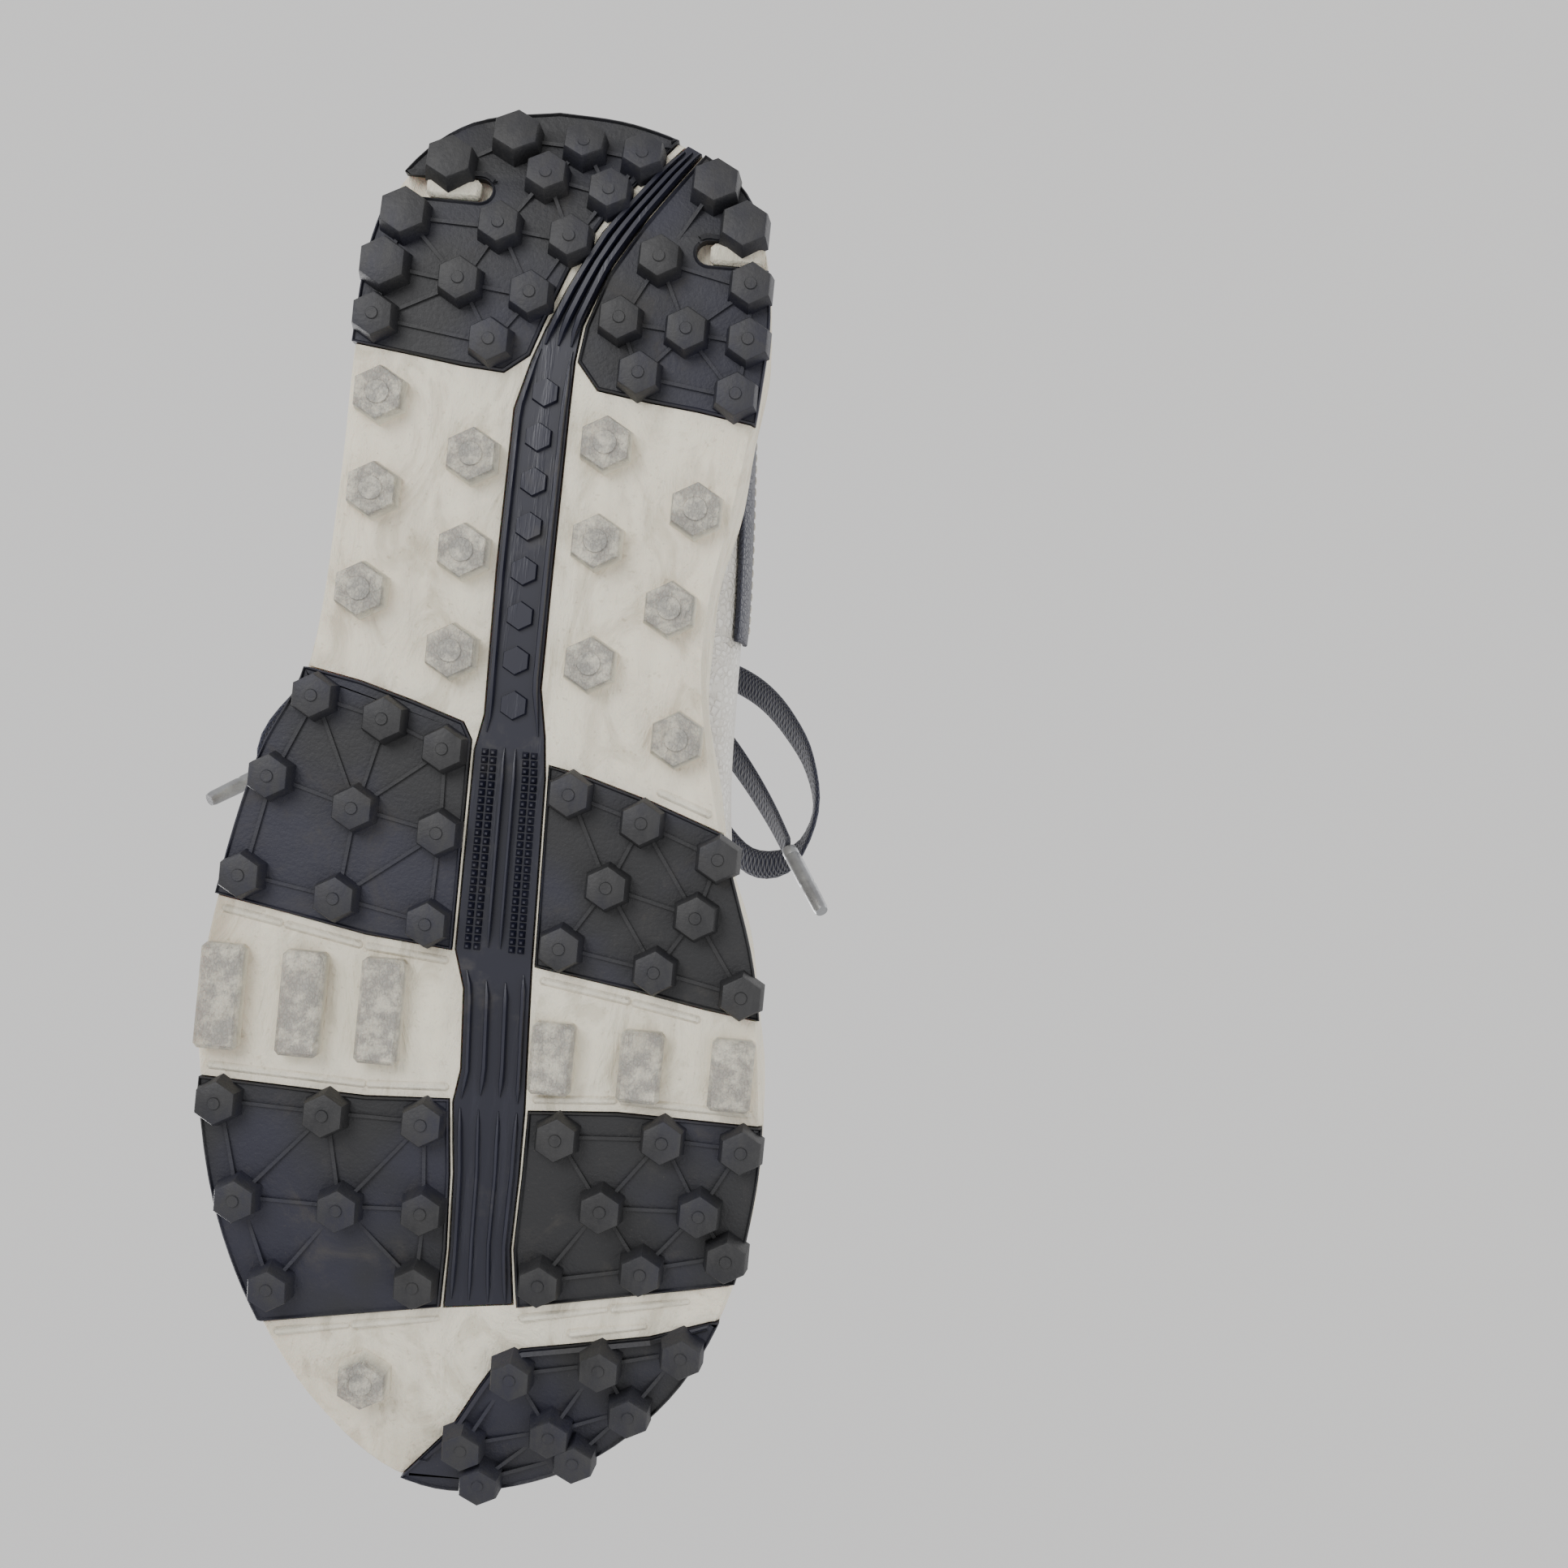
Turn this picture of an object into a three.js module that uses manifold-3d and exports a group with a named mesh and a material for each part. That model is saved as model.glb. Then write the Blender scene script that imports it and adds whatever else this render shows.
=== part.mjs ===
// A golf shoe (left foot) as separate pieces: cleated rubber pods, a foam midsole, a moulded spine,
// a stitched leather upper over its lining, a tongue, eyelets and a tied lace.
// Millimetres. +Z is up, the toe points along -Y, the outer (lateral) side is +X.
import * as THREE from 'three';
import { mergeVertices } from 'three/addons/utils/BufferGeometryUtils.js';
import Module from 'manifold-3d';

const wasm = await Module();
wasm.setup();

// ---------------------------------------------------------------- driving dimensions
const soleLength = 297;        // heel edge to toe edge
const ballWidth = 120;         // across the widest part of the sole
const lugHeight = 4.5;         // cleats below the pod plates
const podThickness = 3.2;      // rubber plate of a pod
const heelSeat = 31;           // foot's seat above the ground under the heel
const ballSeat = 23;           // and under the ball
const toeSpring = 15;          // rise of the sole at the toe tip
const heelBevel = 9;           // rise of the sole at the back edge
const rimHeight = 5;           // midsole rim above the seat
const liningThickness = 1.0;
const leather = 2.0;           // upper leather
const stiffener = 0.8;         // toe puff and heel counter, let into the leather's inner face
const overlay = 1.2;           // foxing and eyestays on top of the upper
const clearance = 0.3;         // between any two pieces that touch
const sockThickness = 4.2;     // removable footbed
const tonguePad = 4.0;
const collarPad = 4.2;
const collarRoll = 3;          // padding stands this far above the leather's top line
const collarPadDepth = 26;
const laceRadius = 1.2;        // lace bunched to a cord where it runs through the eyelets
const freeLaceRadius = 1.6;    // rolled flat lace where it is free
const agletRadius = 1.9;
const knotSize = [8, 6, 4.2];  // half width, length and height of the tied knot
const eyeletRows = 5;
const eyeletBore = 2.4;
const eyeletWall = 0.5;
const eyeletFlange = 1.4;
const eyeletHead = 0.7;
const eyestaySetback = 0.4;    // eyestay's edge behind the throat's edge
const foamLugDrop = 0.6;       // foam cleats stop this far above the ground line
const ribDrop = 0.5;           // and so do the flex ribs
const agletTaper = 0.85;

// ---------------------------------------------------------------- grading
// Pattern outlines are drawn for a sole of this size and graded to the driving dimensions.
const PATTERN_LENGTH = 297;
const PATTERN_WIDTH = 120;
const gradeX = ballWidth / PATTERN_WIDTH;
const gradeY = soleLength / PATTERN_LENGTH;
const heelEnd = 147 * gradeY;
const toeEnd = heelEnd - soleLength;
const springStart = -70 * gradeY;
const bevelStart = 105 * gradeY;
const springCurve = 1.8;       // how late the toe spring sets in
const bevelCurve = 2;
const seatFallBack = 70 * gradeY;   // the seat falls between these two stations
const seatFallFront = -40 * gradeY;
const seatFollow = 0.75;       // share of the toe spring that the seat follows
const FAR = 400;
const WELD = 1e-4;

const graded = points => points.map(([x, y]) => new THREE.Vector2(x * gradeX, y * gradeY));

// ---------------------------------------------------------------- solids
function solid(geometry) {
  const bare = geometry.clone();
  bare.deleteAttribute('normal');
  bare.deleteAttribute('uv');
  const merged = mergeVertices(bare, WELD);
  return new wasm.Manifold(new wasm.Mesh({
    numProp: 3,
    vertProperties: new Float32Array(merged.attributes.position.array),
    triVerts: new Uint32Array(merged.index.array),
  }));
}

function geometryOf(manifold) {
  const mesh = manifold.getMesh();
  const geometry = new THREE.BufferGeometry();
  geometry.setAttribute('position', new THREE.BufferAttribute(new Float32Array(mesh.vertProperties), 3));
  geometry.setIndex(new THREE.BufferAttribute(new Uint32Array(mesh.triVerts), 1));
  geometry.computeVertexNormals();
  return geometry;
}

const joined = solids => solids.reduce((all, one) => all.add(one));

/** Upright prism over a plan outline. */
function planPrism(points, bottom = -FAR, top = FAR) {
  const shape = new THREE.Shape(points);
  const geometry = new THREE.ExtrudeGeometry(shape, { depth: top - bottom, bevelEnabled: false });
  geometry.translate(0, 0, bottom);
  return solid(geometry);
}

/** Prism across the shoe over a side outline of (y, z) points, from x = left to x = right. */
function sidePrism(points, left = -FAR, right = FAR) {
  const shape = new THREE.Shape(points);
  const geometry = new THREE.ExtrudeGeometry(shape, { depth: right - left, bevelEnabled: false });
  geometry.applyMatrix4(new THREE.Matrix4().set(0, 0, 1, left, 1, 0, 0, 0, 0, 1, 0, 0, 0, 0, 0, 1));
  return solid(geometry);
}

/** Smooth closed outline through a few points. */
function smoothOutline(points, steps) {
  return new THREE.SplineCurve([...points, points[0]]).getPoints(steps).slice(0, -1);
}

/** Outline moved outwards along its normals (inwards when the distance is negative). */
function offsetOutline(points, distance) {
  const turn = THREE.ShapeUtils.isClockWise(points) ? -1 : 1;
  return points.map((point, i) => {
    const before = points[(i + points.length - 1) % points.length];
    const after = points[(i + 1) % points.length];
    const u = point.clone().sub(before).normalize();
    const v = after.clone().sub(point).normalize();
    const normal = new THREE.Vector2(u.y + v.y, -u.x - v.x).normalize();
    const stretch = Math.max(0.5, Math.abs(normal.x * v.y - normal.y * v.x));
    return point.clone().addScaledVector(normal, turn * distance / stretch);
  });
}

// ---------------------------------------------------------------- sole lines
const easeRange = (value, from, to) => Math.min(1, Math.max(0, (value - from) / (to - from)));

/** Height of the cleat tips: flat, with the toe spring and the bevel at the back of the heel. */
function ground(y) {
  const fore = easeRange(y, springStart, toeEnd);
  const rear = easeRange(y, bevelStart, heelEnd);
  return toeSpring * fore ** springCurve + heelBevel * rear ** bevelCurve;
}

/** Height of the foot's seat, falling from the heel to the ball. */
function seat(y) {
  const fall = easeRange(y, seatFallBack, seatFallFront);
  const smooth = fall * fall * (3 - 2 * fall);
  return heelSeat + (ballSeat - heelSeat) * smooth + seatFollow * ground(Math.min(y, 0));
}

const plateFace = y => ground(y) + lugHeight;
const plateBack = y => ground(y) + lugHeight + podThickness;
const rimTop = y => seat(y) + rimHeight;

const SLAB_STEPS = 13;
const SLAB_MARGIN = 4;          // past the sole at either end
/** Everything between two height lines, right across the shoe. */
function slab(low, high) {
  const stations = [];
  for (let i = 0; i <= SLAB_STEPS; i += 1) {
    stations.push(toeEnd - SLAB_MARGIN + (soleLength + 2 * SLAB_MARGIN) * i / SLAB_STEPS);
  }
  const lower = stations.map(y => new THREE.Vector2(y, low(y)));
  const upper = stations.map(y => new THREE.Vector2(y, high(y))).reverse();
  return sidePrism([...lower, ...upper]);
}

// ---------------------------------------------------------------- sole plan
const OUTLINE_STEPS = 46;
const soleOutline = smoothOutline(graded([
  [4, 147], [22, 143], [34, 131], [39.5, 115], [41.5, 92], [42, 62], [44.5, 26], [53, 4], [59, -25],
  [61, -48], [58, -70], [52.5, -93], [43, -115], [30, -134], [13, -148], [-6, -150], [-28, -141],
  [-45, -124], [-55, -103], [-59, -80], [-59, -60], [-54.5, -31], [-46, -5], [-39, 25], [-38.5, 45],
  [-42, 68], [-44.5, 90], [-44.5, 110], [-39, 130], [-27, 141], [-12, 146],
]), OUTLINE_STEPS);

const podOutlines = {
  heel_pod_lateral: [[-28, 160], [-28, 152.5], [-20.5, 141.5], [-8.5, 124.5], [-2, 112], [2.5, 99.5],
    [4.5, 93.5], [9.5, 89.5], [18, 90], [30, 91.5], [80, 97], [80, 160]],
  heel_pod_medial: [[-34.5, 160], [-34.5, 151], [-26.5, 138.5], [-16.5, 122.5], [-10.5, 111.5], [-7, 100.5],
    [-6, 93], [-10.5, 87.5], [-21.5, 86], [-32, 85], [-80, 78], [-80, 160]],
  ball_pod_lateral: [[80, 31], [44, 24], [33, 22], [22, 19], [11, 15.5], [9, 12], [9, -32], [27, -30.5],
    [44, -27.5], [59, -25], [80, -21]],
  ball_pod_medial: [[-8, 8], [-16, 6.5], [-30, 2.5], [-46, -3], [-80, -14], [-80, -43], [-57, -41],
    [-45, -39.5], [-30, -37], [-9, -34]],
  fore_pod_lateral: [[80, -63], [59, -63.5], [24, -64.5], [6.5, -63.5], [5, -79], [4.5, -95], [5, -108],
    [24, -111.5], [42.5, -115], [80, -121]],
  fore_pod_medial: [[-10.5, -64.5], [-29, -63], [-80, -63.5], [-80, -92], [-59, -96.5], [-47.5, -99],
    [-30.5, -102.5], [-11.5, -106.5], [-10, -94], [-10.5, -78]],
  toe_pod: [[-80, -101], [-52.5, -106], [-40, -110.5], [-23, -114], [-13, -116], [-8, -119.5],
    [-4.5, -125.5], [1, -136], [12.5, -150], [16, -165], [-80, -165]],
};

const spineOutline = [[-31, 152], [-19.5, 137], [-8.5, 121], [-2.5, 108.5], [1.5, 99], [3.8, 92.5],
  [6.5, 82], [7, 48], [6.6, 17.6], [8, 10], [8, -32], [5.5, -40], [4.5, -57], [5.5, -64], [4, -79],
  [3.6, -95], [4, -108], [-10.4, -106], [-9.1, -94], [-9.6, -78], [-9.5, -64.5], [-8.9, -52], [-8.1, -34],
  [-7.2, 5], [-6.3, 14], [-4.5, 24], [-4.6, 49], [-4.9, 83], [-5.1, 93], [-6, 100.5], [-10.8, 113.5],
  [-17.5, 125.5], [-27, 140.5], [-34, 150.5]];

// Cleat centres on each pod; the third number is the cleat's size where it differs.
const podLug = 4.6;            // hexagon's corner radius at the tip
const edgeLug = 6.2;
const foamLug = 5.6;
const lugFlare = 0.9;          // and how much wider it is at the plate
const lugRoot = 0.8;           // how far a cleat runs into its plate
const lugCentres = {
  heel_pod_lateral: [[12, 140, edgeLug], [25, 132.5, edgeLug], [33, 120, edgeLug], [36, 109, edgeLug],
    [37, 98], [-2.5, 139.5], [-15, 138], [4.5, 131.5], [-9, 129], [13, 119.5], [-2, 118], [20, 107],
    [5, 105.5], [12.5, 95]],
  heel_pod_medial: [[-31, 133, edgeLug], [-38, 124, edgeLug], [-21, 115.5], [-40.5, 111.5], [-14, 102],
    [-28, 101], [-41, 100], [-19, 91], [-39.5, 88.5]],
  ball_pod_lateral: [[42, 18], [27, 14.5], [14, 9.5], [49.5, 0.5], [31.5, -4.5], [13.5, -8], [53.5, -20.5],
    [33.5, -23.5], [14, -27]],
  ball_pod_medial: [[-13, 2.5], [-28.5, -2], [-45, -8], [-22.5, -16], [-41.5, -20.5], [-14, -29.5],
    [-34, -32.5], [-52.5, -36]],
  fore_pod_lateral: [[54, -68], [31.5, -68.5], [11, -68.5], [48.5, -88], [27, -88], [9.5, -87],
    [40.5, -106.5], [10, -103]],
  fore_pod_medial: [[-17, -69], [-39, -67.5], [-55.5, -68], [-27.5, -83], [-48, -82], [-16, -100],
    [-37, -95.5], [-54.5, -91]],
  toe_pod: [[-11.5, -121.5], [-30, -117.5], [-47, -113], [-2, -139], [-20.5, -134], [-37, -127.5], [-6, -147],
    [-26, -139.5]],
};
const foamLugCentres = [[34.5, 82], [14, 71], [34, 62], [14, 51], [34.5, 41], [14.5, 30], [-13.5, 76],
  [-33.5, 64], [-13.5, 55.5], [-30, 43], [-14.5, 30], [-34, 16], [20, -126]];

// Flex ribs of the foam band: x of each rib, and the band's front and back edge.
const ribWidth = 9;
const ribBands = [
  { across: [22, 38.5, 55.5], from: -57, to: -35 },
  { across: [-14.5, -33, -52], from: -60, to: -45 },
];

/** A hexagonal cleat with its tip on the ground line. */
function cleat([x, y, size], drop = 0) {
  const foot = new THREE.CylinderGeometry(size + lugFlare, size, lugHeight - drop + lugRoot, 6);
  foot.rotateX(Math.PI / 2);
  foot.translate(x * gradeX, y * gradeY, ground(y * gradeY) + drop + (lugHeight - drop + lugRoot) / 2);
  return solid(foot);
}

const solePrism = planPrism(soleOutline);
const plateSlab = slab(plateFace, plateBack);
const pocketSlab = slab(y => plateFace(y) - FAR, y => plateBack(y) + clearance);

const notchRadius = 2.7;
const NOTCH_STEPS = 6;
const notches = {
  heel_pod_lateral: { inner: 18.5, y: 127.5, side: 1 },
  heel_pod_medial: { inner: -31, y: 118.5, side: -1 },
};

/** Round-ended notch that runs in from the edge of a heel pod; side is the edge it opens to. */
function notch({ inner, y, side }, shrink) {
  const radius = notchRadius - shrink;
  const points = [[side * FAR, y * gradeY + radius]];
  for (let i = 0; i <= NOTCH_STEPS; i += 1) {
    const angle = Math.PI / 2 + Math.PI * i / NOTCH_STEPS;
    points.push([inner * gradeX + side * radius * Math.cos(angle), y * gradeY + radius * Math.sin(angle)]);
  }
  points.push([side * FAR, y * gradeY - radius]);
  return planPrism(points.map(([u, v]) => new THREE.Vector2(u, v)));
}

function pod(name) {
  const plate = solePrism.intersect(plateSlab);
  const cleats = lugCentres[name].map(([x, y, size = podLug]) => cleat([x, y, size]));
  const body = joined([plate, ...cleats]).intersect(planPrism(graded(podOutlines[name])));
  return notches[name] ? body.subtract(notch(notches[name], 0)) : body;
}

const spine = planPrism(graded(spineOutline)).intersect(solePrism).intersect(plateSlab);

// ---------------------------------------------------------------- the last
// Cross-sections of the foot space from the heel to the toe: the length station, the inner and outer
// extent, the height of the widest line above the seat, and the crown's height above the seat.
const SECTIONS = [
  [141, -3, -3, 24, 24], [139.8, -16, 11, 23, 62], [134, -26, 21, 21, 82], [122, -33.5, 29.5, 20, 93],
  [100, -37, 33.5, 19, 98], [75, -39, 35, 19, 100], [50, -40.5, 37, 18.5, 98], [30, -41, 40, 17.5, 84],
  [5, -42, 45.5, 16, 71], [-20, -45.5, 50.5, 15, 60.5], [-45, -50, 53.5, 14, 51], [-70, -52, 50.5, 13.5, 43],
  [-95, -49, 45, 13, 37], [-115, -43, 37.5, 12.5, 31.5], [-130, -32.5, 26, 12, 26], [-140, -18, 11, 11.5, 19],
  [-144.3, -4, -4, 11, 11],
];
const crownExponent = 2.5;
const sideExponent = 3.4;
const LAST_STEPS = 18;
const RING_STEPS = 18;
const lastHeel = SECTIONS[0][0] * gradeY;
const lastToe = SECTIONS.at(-1)[0] * gradeY;
const lastHalfLength = (lastHeel - lastToe) / 2;
const lastMiddle = (lastHeel + lastToe) / 2;
const BISECTIONS = 40;

const channelCurve = column => new THREE.SplineCurve(
  SECTIONS.map((section, i) => new THREE.Vector2(i, section[column])));
const channels = [0, 1, 2, 3, 4].map(channelCurve);

function section(t) {
  const [y, inner, outer, widest, crown] = channels.map(curve => curve.getPoint(t).y);
  return { y: y * gradeY, inner: inner * gradeX, outer: outer * gradeX, widest, crown };
}

const power = (value, exponent) => Math.sign(value) * Math.abs(value) ** exponent;

/** Point of the last's surface at station t and angle phi round it, moved out by an offset. */
function onLast(t, phi, offset) {
  const s = section(t);
  const y = lastMiddle + (s.y - lastMiddle) * (lastHalfLength + offset) / lastHalfLength;
  const closed = Math.abs(s.outer - s.inner) < 1e-6;
  const halfWidth = closed ? 0 : (s.outer - s.inner) / 2 + offset;
  const floor = seat(s.y);
  const lower = closed ? 0 : s.widest + offset;
  const upper = closed ? 0 : s.crown - s.widest + offset;
  const exponent = 2 / (Math.sin(phi) >= 0 ? crownExponent : sideExponent);
  const x = (s.inner + s.outer) / 2 + halfWidth * power(Math.cos(phi), exponent);
  const rise = (Math.sin(phi) >= 0 ? upper : lower) * power(Math.sin(phi), exponent);
  return new THREE.Vector3(x, y, floor + s.widest + rise);
}

/** Station of the last at a length position. */
function stationAt(y, offset) {
  let low = 0;
  let high = 1;
  for (let i = 0; i < BISECTIONS; i += 1) {
    const middle = (low + high) / 2;
    if (onLast(middle, 0, offset).y > y) low = middle;
    else high = middle;
  }
  return (low + high) / 2;
}

/** Point over the instep at plan position (x, y), at an offset from the last. */
function onInstep(x, y, offset) {
  const t = stationAt(y, offset);
  let low = 0;
  let high = Math.PI;
  for (let i = 0; i < BISECTIONS; i += 1) {
    const middle = (low + high) / 2;
    if (onLast(t, middle, offset).x > x) low = middle;
    else high = middle;
  }
  return onLast(t, (low + high) / 2, offset);
}

/** Outward direction of the instep at plan position (x, y). */
function instepNormal(x, y) {
  const across = onInstep(x + 1, y, 0).sub(onInstep(x - 1, y, 0));
  const along = onInstep(x, y + 1, 0).sub(onInstep(x, y - 1, 0));
  return across.cross(along).normalize();
}

function lastSolid(offset) {
  const positions = [];
  const indices = [];
  for (let i = 1; i < LAST_STEPS; i += 1) {
    for (let j = 0; j < RING_STEPS; j += 1) {
      positions.push(...onLast(i / LAST_STEPS, 2 * Math.PI * j / RING_STEPS, offset).toArray());
    }
  }
  const ring = (i, j) => i * RING_STEPS + j % RING_STEPS;
  for (let i = 0; i < LAST_STEPS - 2; i += 1) {
    for (let j = 0; j < RING_STEPS; j += 1) {
      indices.push(ring(i, j), ring(i + 1, j + 1), ring(i + 1, j));
      indices.push(ring(i, j), ring(i, j + 1), ring(i + 1, j + 1));
    }
  }
  const heelPole = positions.length / 3;
  positions.push(...onLast(0, 0, offset).toArray());
  positions.push(...onLast(1, 0, offset).toArray());
  for (let j = 0; j < RING_STEPS; j += 1) {
    indices.push(heelPole, ring(0, j + 1), ring(0, j));
    indices.push(heelPole + 1, ring(LAST_STEPS - 2, j), ring(LAST_STEPS - 2, j + 1));
  }
  const geometry = new THREE.BufferGeometry();
  geometry.setAttribute('position', new THREE.Float32BufferAttribute(positions, 3));
  geometry.setIndex(indices);
  return solid(geometry);
}

const shell = (inner, outer) => lastSolid(outer).subtract(lastSolid(inner));

// Layers, as offsets from the last.
const upperInner = liningThickness + clearance;
const upperOuter = upperInner + leather;
const overlayInner = upperOuter + clearance;
const overlayOuter = overlayInner + overlay;
const INSTEP_SLOPE = 0.72;      // share of an offset that is left square to the sloping instep
const FACET_SAG = 0.6;         // a facet's middle lies up to this far inside the true curve
const laceRunDepth = laceRadius + 2 * clearance + FACET_SAG;
const tongueTop = -(laceRunDepth + laceRadius + 2 * clearance + FACET_SAG) / INSTEP_SLOPE;

// ---------------------------------------------------------------- openings of the upper
const throatCentre = -1;
const throatFront = -29;
const throatBack = 45;
const throatHalfFront = 6.5;
const throatHalfBack = 13;
const throatHalf = y =>
  throatHalfFront + (throatHalfBack - throatHalfFront) * easeRange(y, throatFront, throatBack);
const INSTEP_LEVEL = 58;        // everything of the throat lies above this height
const mouthReach = 30;          // the slot runs on into the collar's opening
const mouthFlare = 4;

/** Throat opening in plan, widened by a margin: a long slot with a round front end. */
function throatPrism(margin) {
  const half = throatHalfFront + margin;
  const shape = new THREE.Shape();
  const frontCentre = (throatFront + throatHalfFront) * gradeY;
  shape.absarc(throatCentre * gradeX, frontCentre, half, Math.PI, 2 * Math.PI, false);
  const back = throatHalfBack + margin;
  shape.lineTo(throatCentre * gradeX + back, throatBack * gradeY);
  shape.lineTo(throatCentre * gradeX + back + mouthFlare, (throatBack + mouthReach) * gradeY);
  shape.lineTo(throatCentre * gradeX - back - mouthFlare, (throatBack + mouthReach) * gradeY);
  shape.lineTo(throatCentre * gradeX - back, throatBack * gradeY);
  return planPrism(shape.getPoints(6), INSTEP_LEVEL, FAR);
}

/** Top line of the collar in the side view, from the facing's corner to the back of the heel. */
const toplinePoints = [[43, 78], [52, 68], [66, 58], [84, 52], [104, 54], [122, 62], [135, 69], [150, 72]];
const toplineCurve = new THREE.SplineCurve(
  toplinePoints.map(([y, rise]) => new THREE.Vector2(y * gradeY, heelSeat + rise)));

/** Everything above the top line, which is raised by the given amount. */
function aboveTopline(raise) {
  const line = toplineCurve.getPoints(10).map(point => new THREE.Vector2(point.x, point.y + raise));
  return sidePrism([...line, new THREE.Vector2(line.at(-1).x, FAR), new THREE.Vector2(line[0].x, FAR)]);
}

const collarOpening = aboveTopline(0);
const throat = throatPrism(0);
const openedShell = (inner, outer) => shell(inner, outer).subtract(collarOpening).subtract(throat);

// ---------------------------------------------------------------- seams
const side = points => points.map(([y, z]) => new THREE.Vector2(y * gradeY, z));
const capSeam = -66;           // toe cap to vamp
const vampSeamFoot = -8;       // vamp to quarters, at the sole
const vampSeamTop = -25;       // and at the throat
const SEAM_LOW = -20;
const SEAM_HIGH = 110;
const throatSeamHeight = INSTEP_LEVEL + 27;
const seamSlope = (vampSeamTop - vampSeamFoot) / (throatSeamHeight - ballSeat);
const seamAt = z => vampSeamFoot + seamSlope * (z - ballSeat);
const kerf = clearance / 2 / gradeY;
const capRegion = sidePrism(side([[-200, SEAM_LOW], [capSeam - kerf, SEAM_LOW], [capSeam - kerf, SEAM_HIGH],
  [-200, SEAM_HIGH]]));
const vampRegion = sidePrism(side([[capSeam + kerf, SEAM_LOW], [seamAt(SEAM_LOW) - kerf, SEAM_LOW],
  [seamAt(SEAM_HIGH) - kerf, SEAM_HIGH], [capSeam + kerf, SEAM_HIGH]]));
const quarterRegion = sidePrism(side([[seamAt(SEAM_LOW) + kerf, SEAM_LOW], [200, SEAM_LOW], [200, 200],
  [seamAt(SEAM_HIGH) + kerf, 200], [seamAt(SEAM_HIGH) + kerf, SEAM_HIGH]]));
const heelSeam = -3 * gradeX;  // the quarters meet at the back of the heel
const SIDE_FRAME = [[-200, -50], [200, -50], [200, 300], [-200, 300]];
const halfSpace = (left, right) => sidePrism(side(SIDE_FRAME), left, right);
const medialHalf = halfSpace(-FAR, heelSeam - clearance / 2);
const lateralHalf = halfSpace(heelSeam + clearance / 2, FAR);

// ---------------------------------------------------------------- insole board
const boardOutline = graded([[3, 128], [20, 118], [26, 92], [28, 60], [32, 25], [40, -5], [44, -35],
  [42, -68], [36, -95], [26, -117], [8, -132], [-12, -131], [-28, -118], [-38, -98], [-42, -68], [-41, -40],
  [-34, -8], [-31, 25], [-31, 55], [-29, 90], [-24, 115], [-12, 127]]);
const BOARD_STEPS = 26;
const boardCurve = smoothOutline(boardOutline, BOARD_STEPS);
const belowSeat = slab(() => -FAR, y => seat(y) + clearance);
const boardOpening = planPrism(boardCurve).intersect(belowSeat);
const boardBlank = planPrism(offsetOutline(boardCurve, -clearance)).intersect(belowSeat);

// ---------------------------------------------------------------- upper leather
const leatherShell = openedShell(upperInner, upperOuter).subtract(boardOpening);
const strobelBoard = shell(upperInner, upperOuter).intersect(boardBlank);

const puffEdge = -94;
const puffRise = 4;            // its lower edge above the seat
const puffRegion = margin => sidePrism(side([[-200, seat(toeEnd) + puffRise - margin],
  [toeEnd / gradeY, seat(toeEnd) + puffRise - margin],
  [puffEdge + margin, seat(puffEdge * gradeY) + puffRise - margin], [puffEdge + margin, SEAM_HIGH],
  [-200, SEAM_HIGH]]));
const counterRegion = margin => sidePrism(side([[66 - margin, heelSeat + 3 - margin],
  [200, heelSeat + 3 - margin], [200, heelSeat + 52 + margin], [120, heelSeat + 44 + margin],
  [84, heelSeat + 26 + margin], [66 - margin, heelSeat + 14 + margin]]));
const stiffenerShell = shell(upperInner, upperInner + stiffener);
const pocketMouth = 0.1;       // the pockets open into the lining's face
const pocketShell = shell(upperInner - pocketMouth, upperInner + stiffener + clearance);
const toePuff = stiffenerShell.intersect(puffRegion(0));
const heelCounter = stiffenerShell.intersect(counterRegion(0));
const puffPocket = pocketShell.intersect(puffRegion(clearance));
const counterPocket = pocketShell.intersect(counterRegion(clearance));

// ---------------------------------------------------------------- eyelets
const eyeletOuter = eyeletBore + eyeletWall;
const eyeletInset = 7;         // from the throat's edge
const eyeletFirst = -15;
const eyeletPitch = 13;
const EYELET_SIDES = 8;
const SIDES = { medial: -1, lateral: 1 };
const eyeletSeats = [];
for (const [name, sign] of Object.entries(SIDES)) {
  for (let row = 0; row < eyeletRows; row += 1) {
    const y = eyeletFirst + eyeletPitch * row;
    const x = throatCentre * gradeX + sign * (throatHalf(y) + eyeletInset);
    eyeletSeats.push({
      name: `eyelet_${name}_${row + 1}`,
      sign,
      row,
      at: onInstep(x, y * gradeY, 0),
      normal: instepNormal(x, y * gradeY),
      stack: onInstep(x, y * gradeY, overlayOuter).sub(onInstep(x, y * gradeY, 0))
        .dot(instepNormal(x, y * gradeY)),
    });
  }
}

const UP = new THREE.Vector3(0, 0, 1);
const turnTo = normal => new THREE.Quaternion().setFromUnitVectors(UP, normal);

const PUNCH_LENGTH = 24;
function punch({ at, normal }) {
  const radius = eyeletOuter + clearance;
  const tool = new THREE.CylinderGeometry(radius, radius, PUNCH_LENGTH, EYELET_SIDES);
  tool.rotateX(Math.PI / 2);
  tool.applyQuaternion(turnTo(normal));
  tool.translate(at.x, at.y, at.z);
  return solid(tool);
}
const eyeletHoles = joined(eyeletSeats.map(punch));

const eyeletFoot = 0.2;        // the barrel starts this far above the lining's inner face

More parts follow.
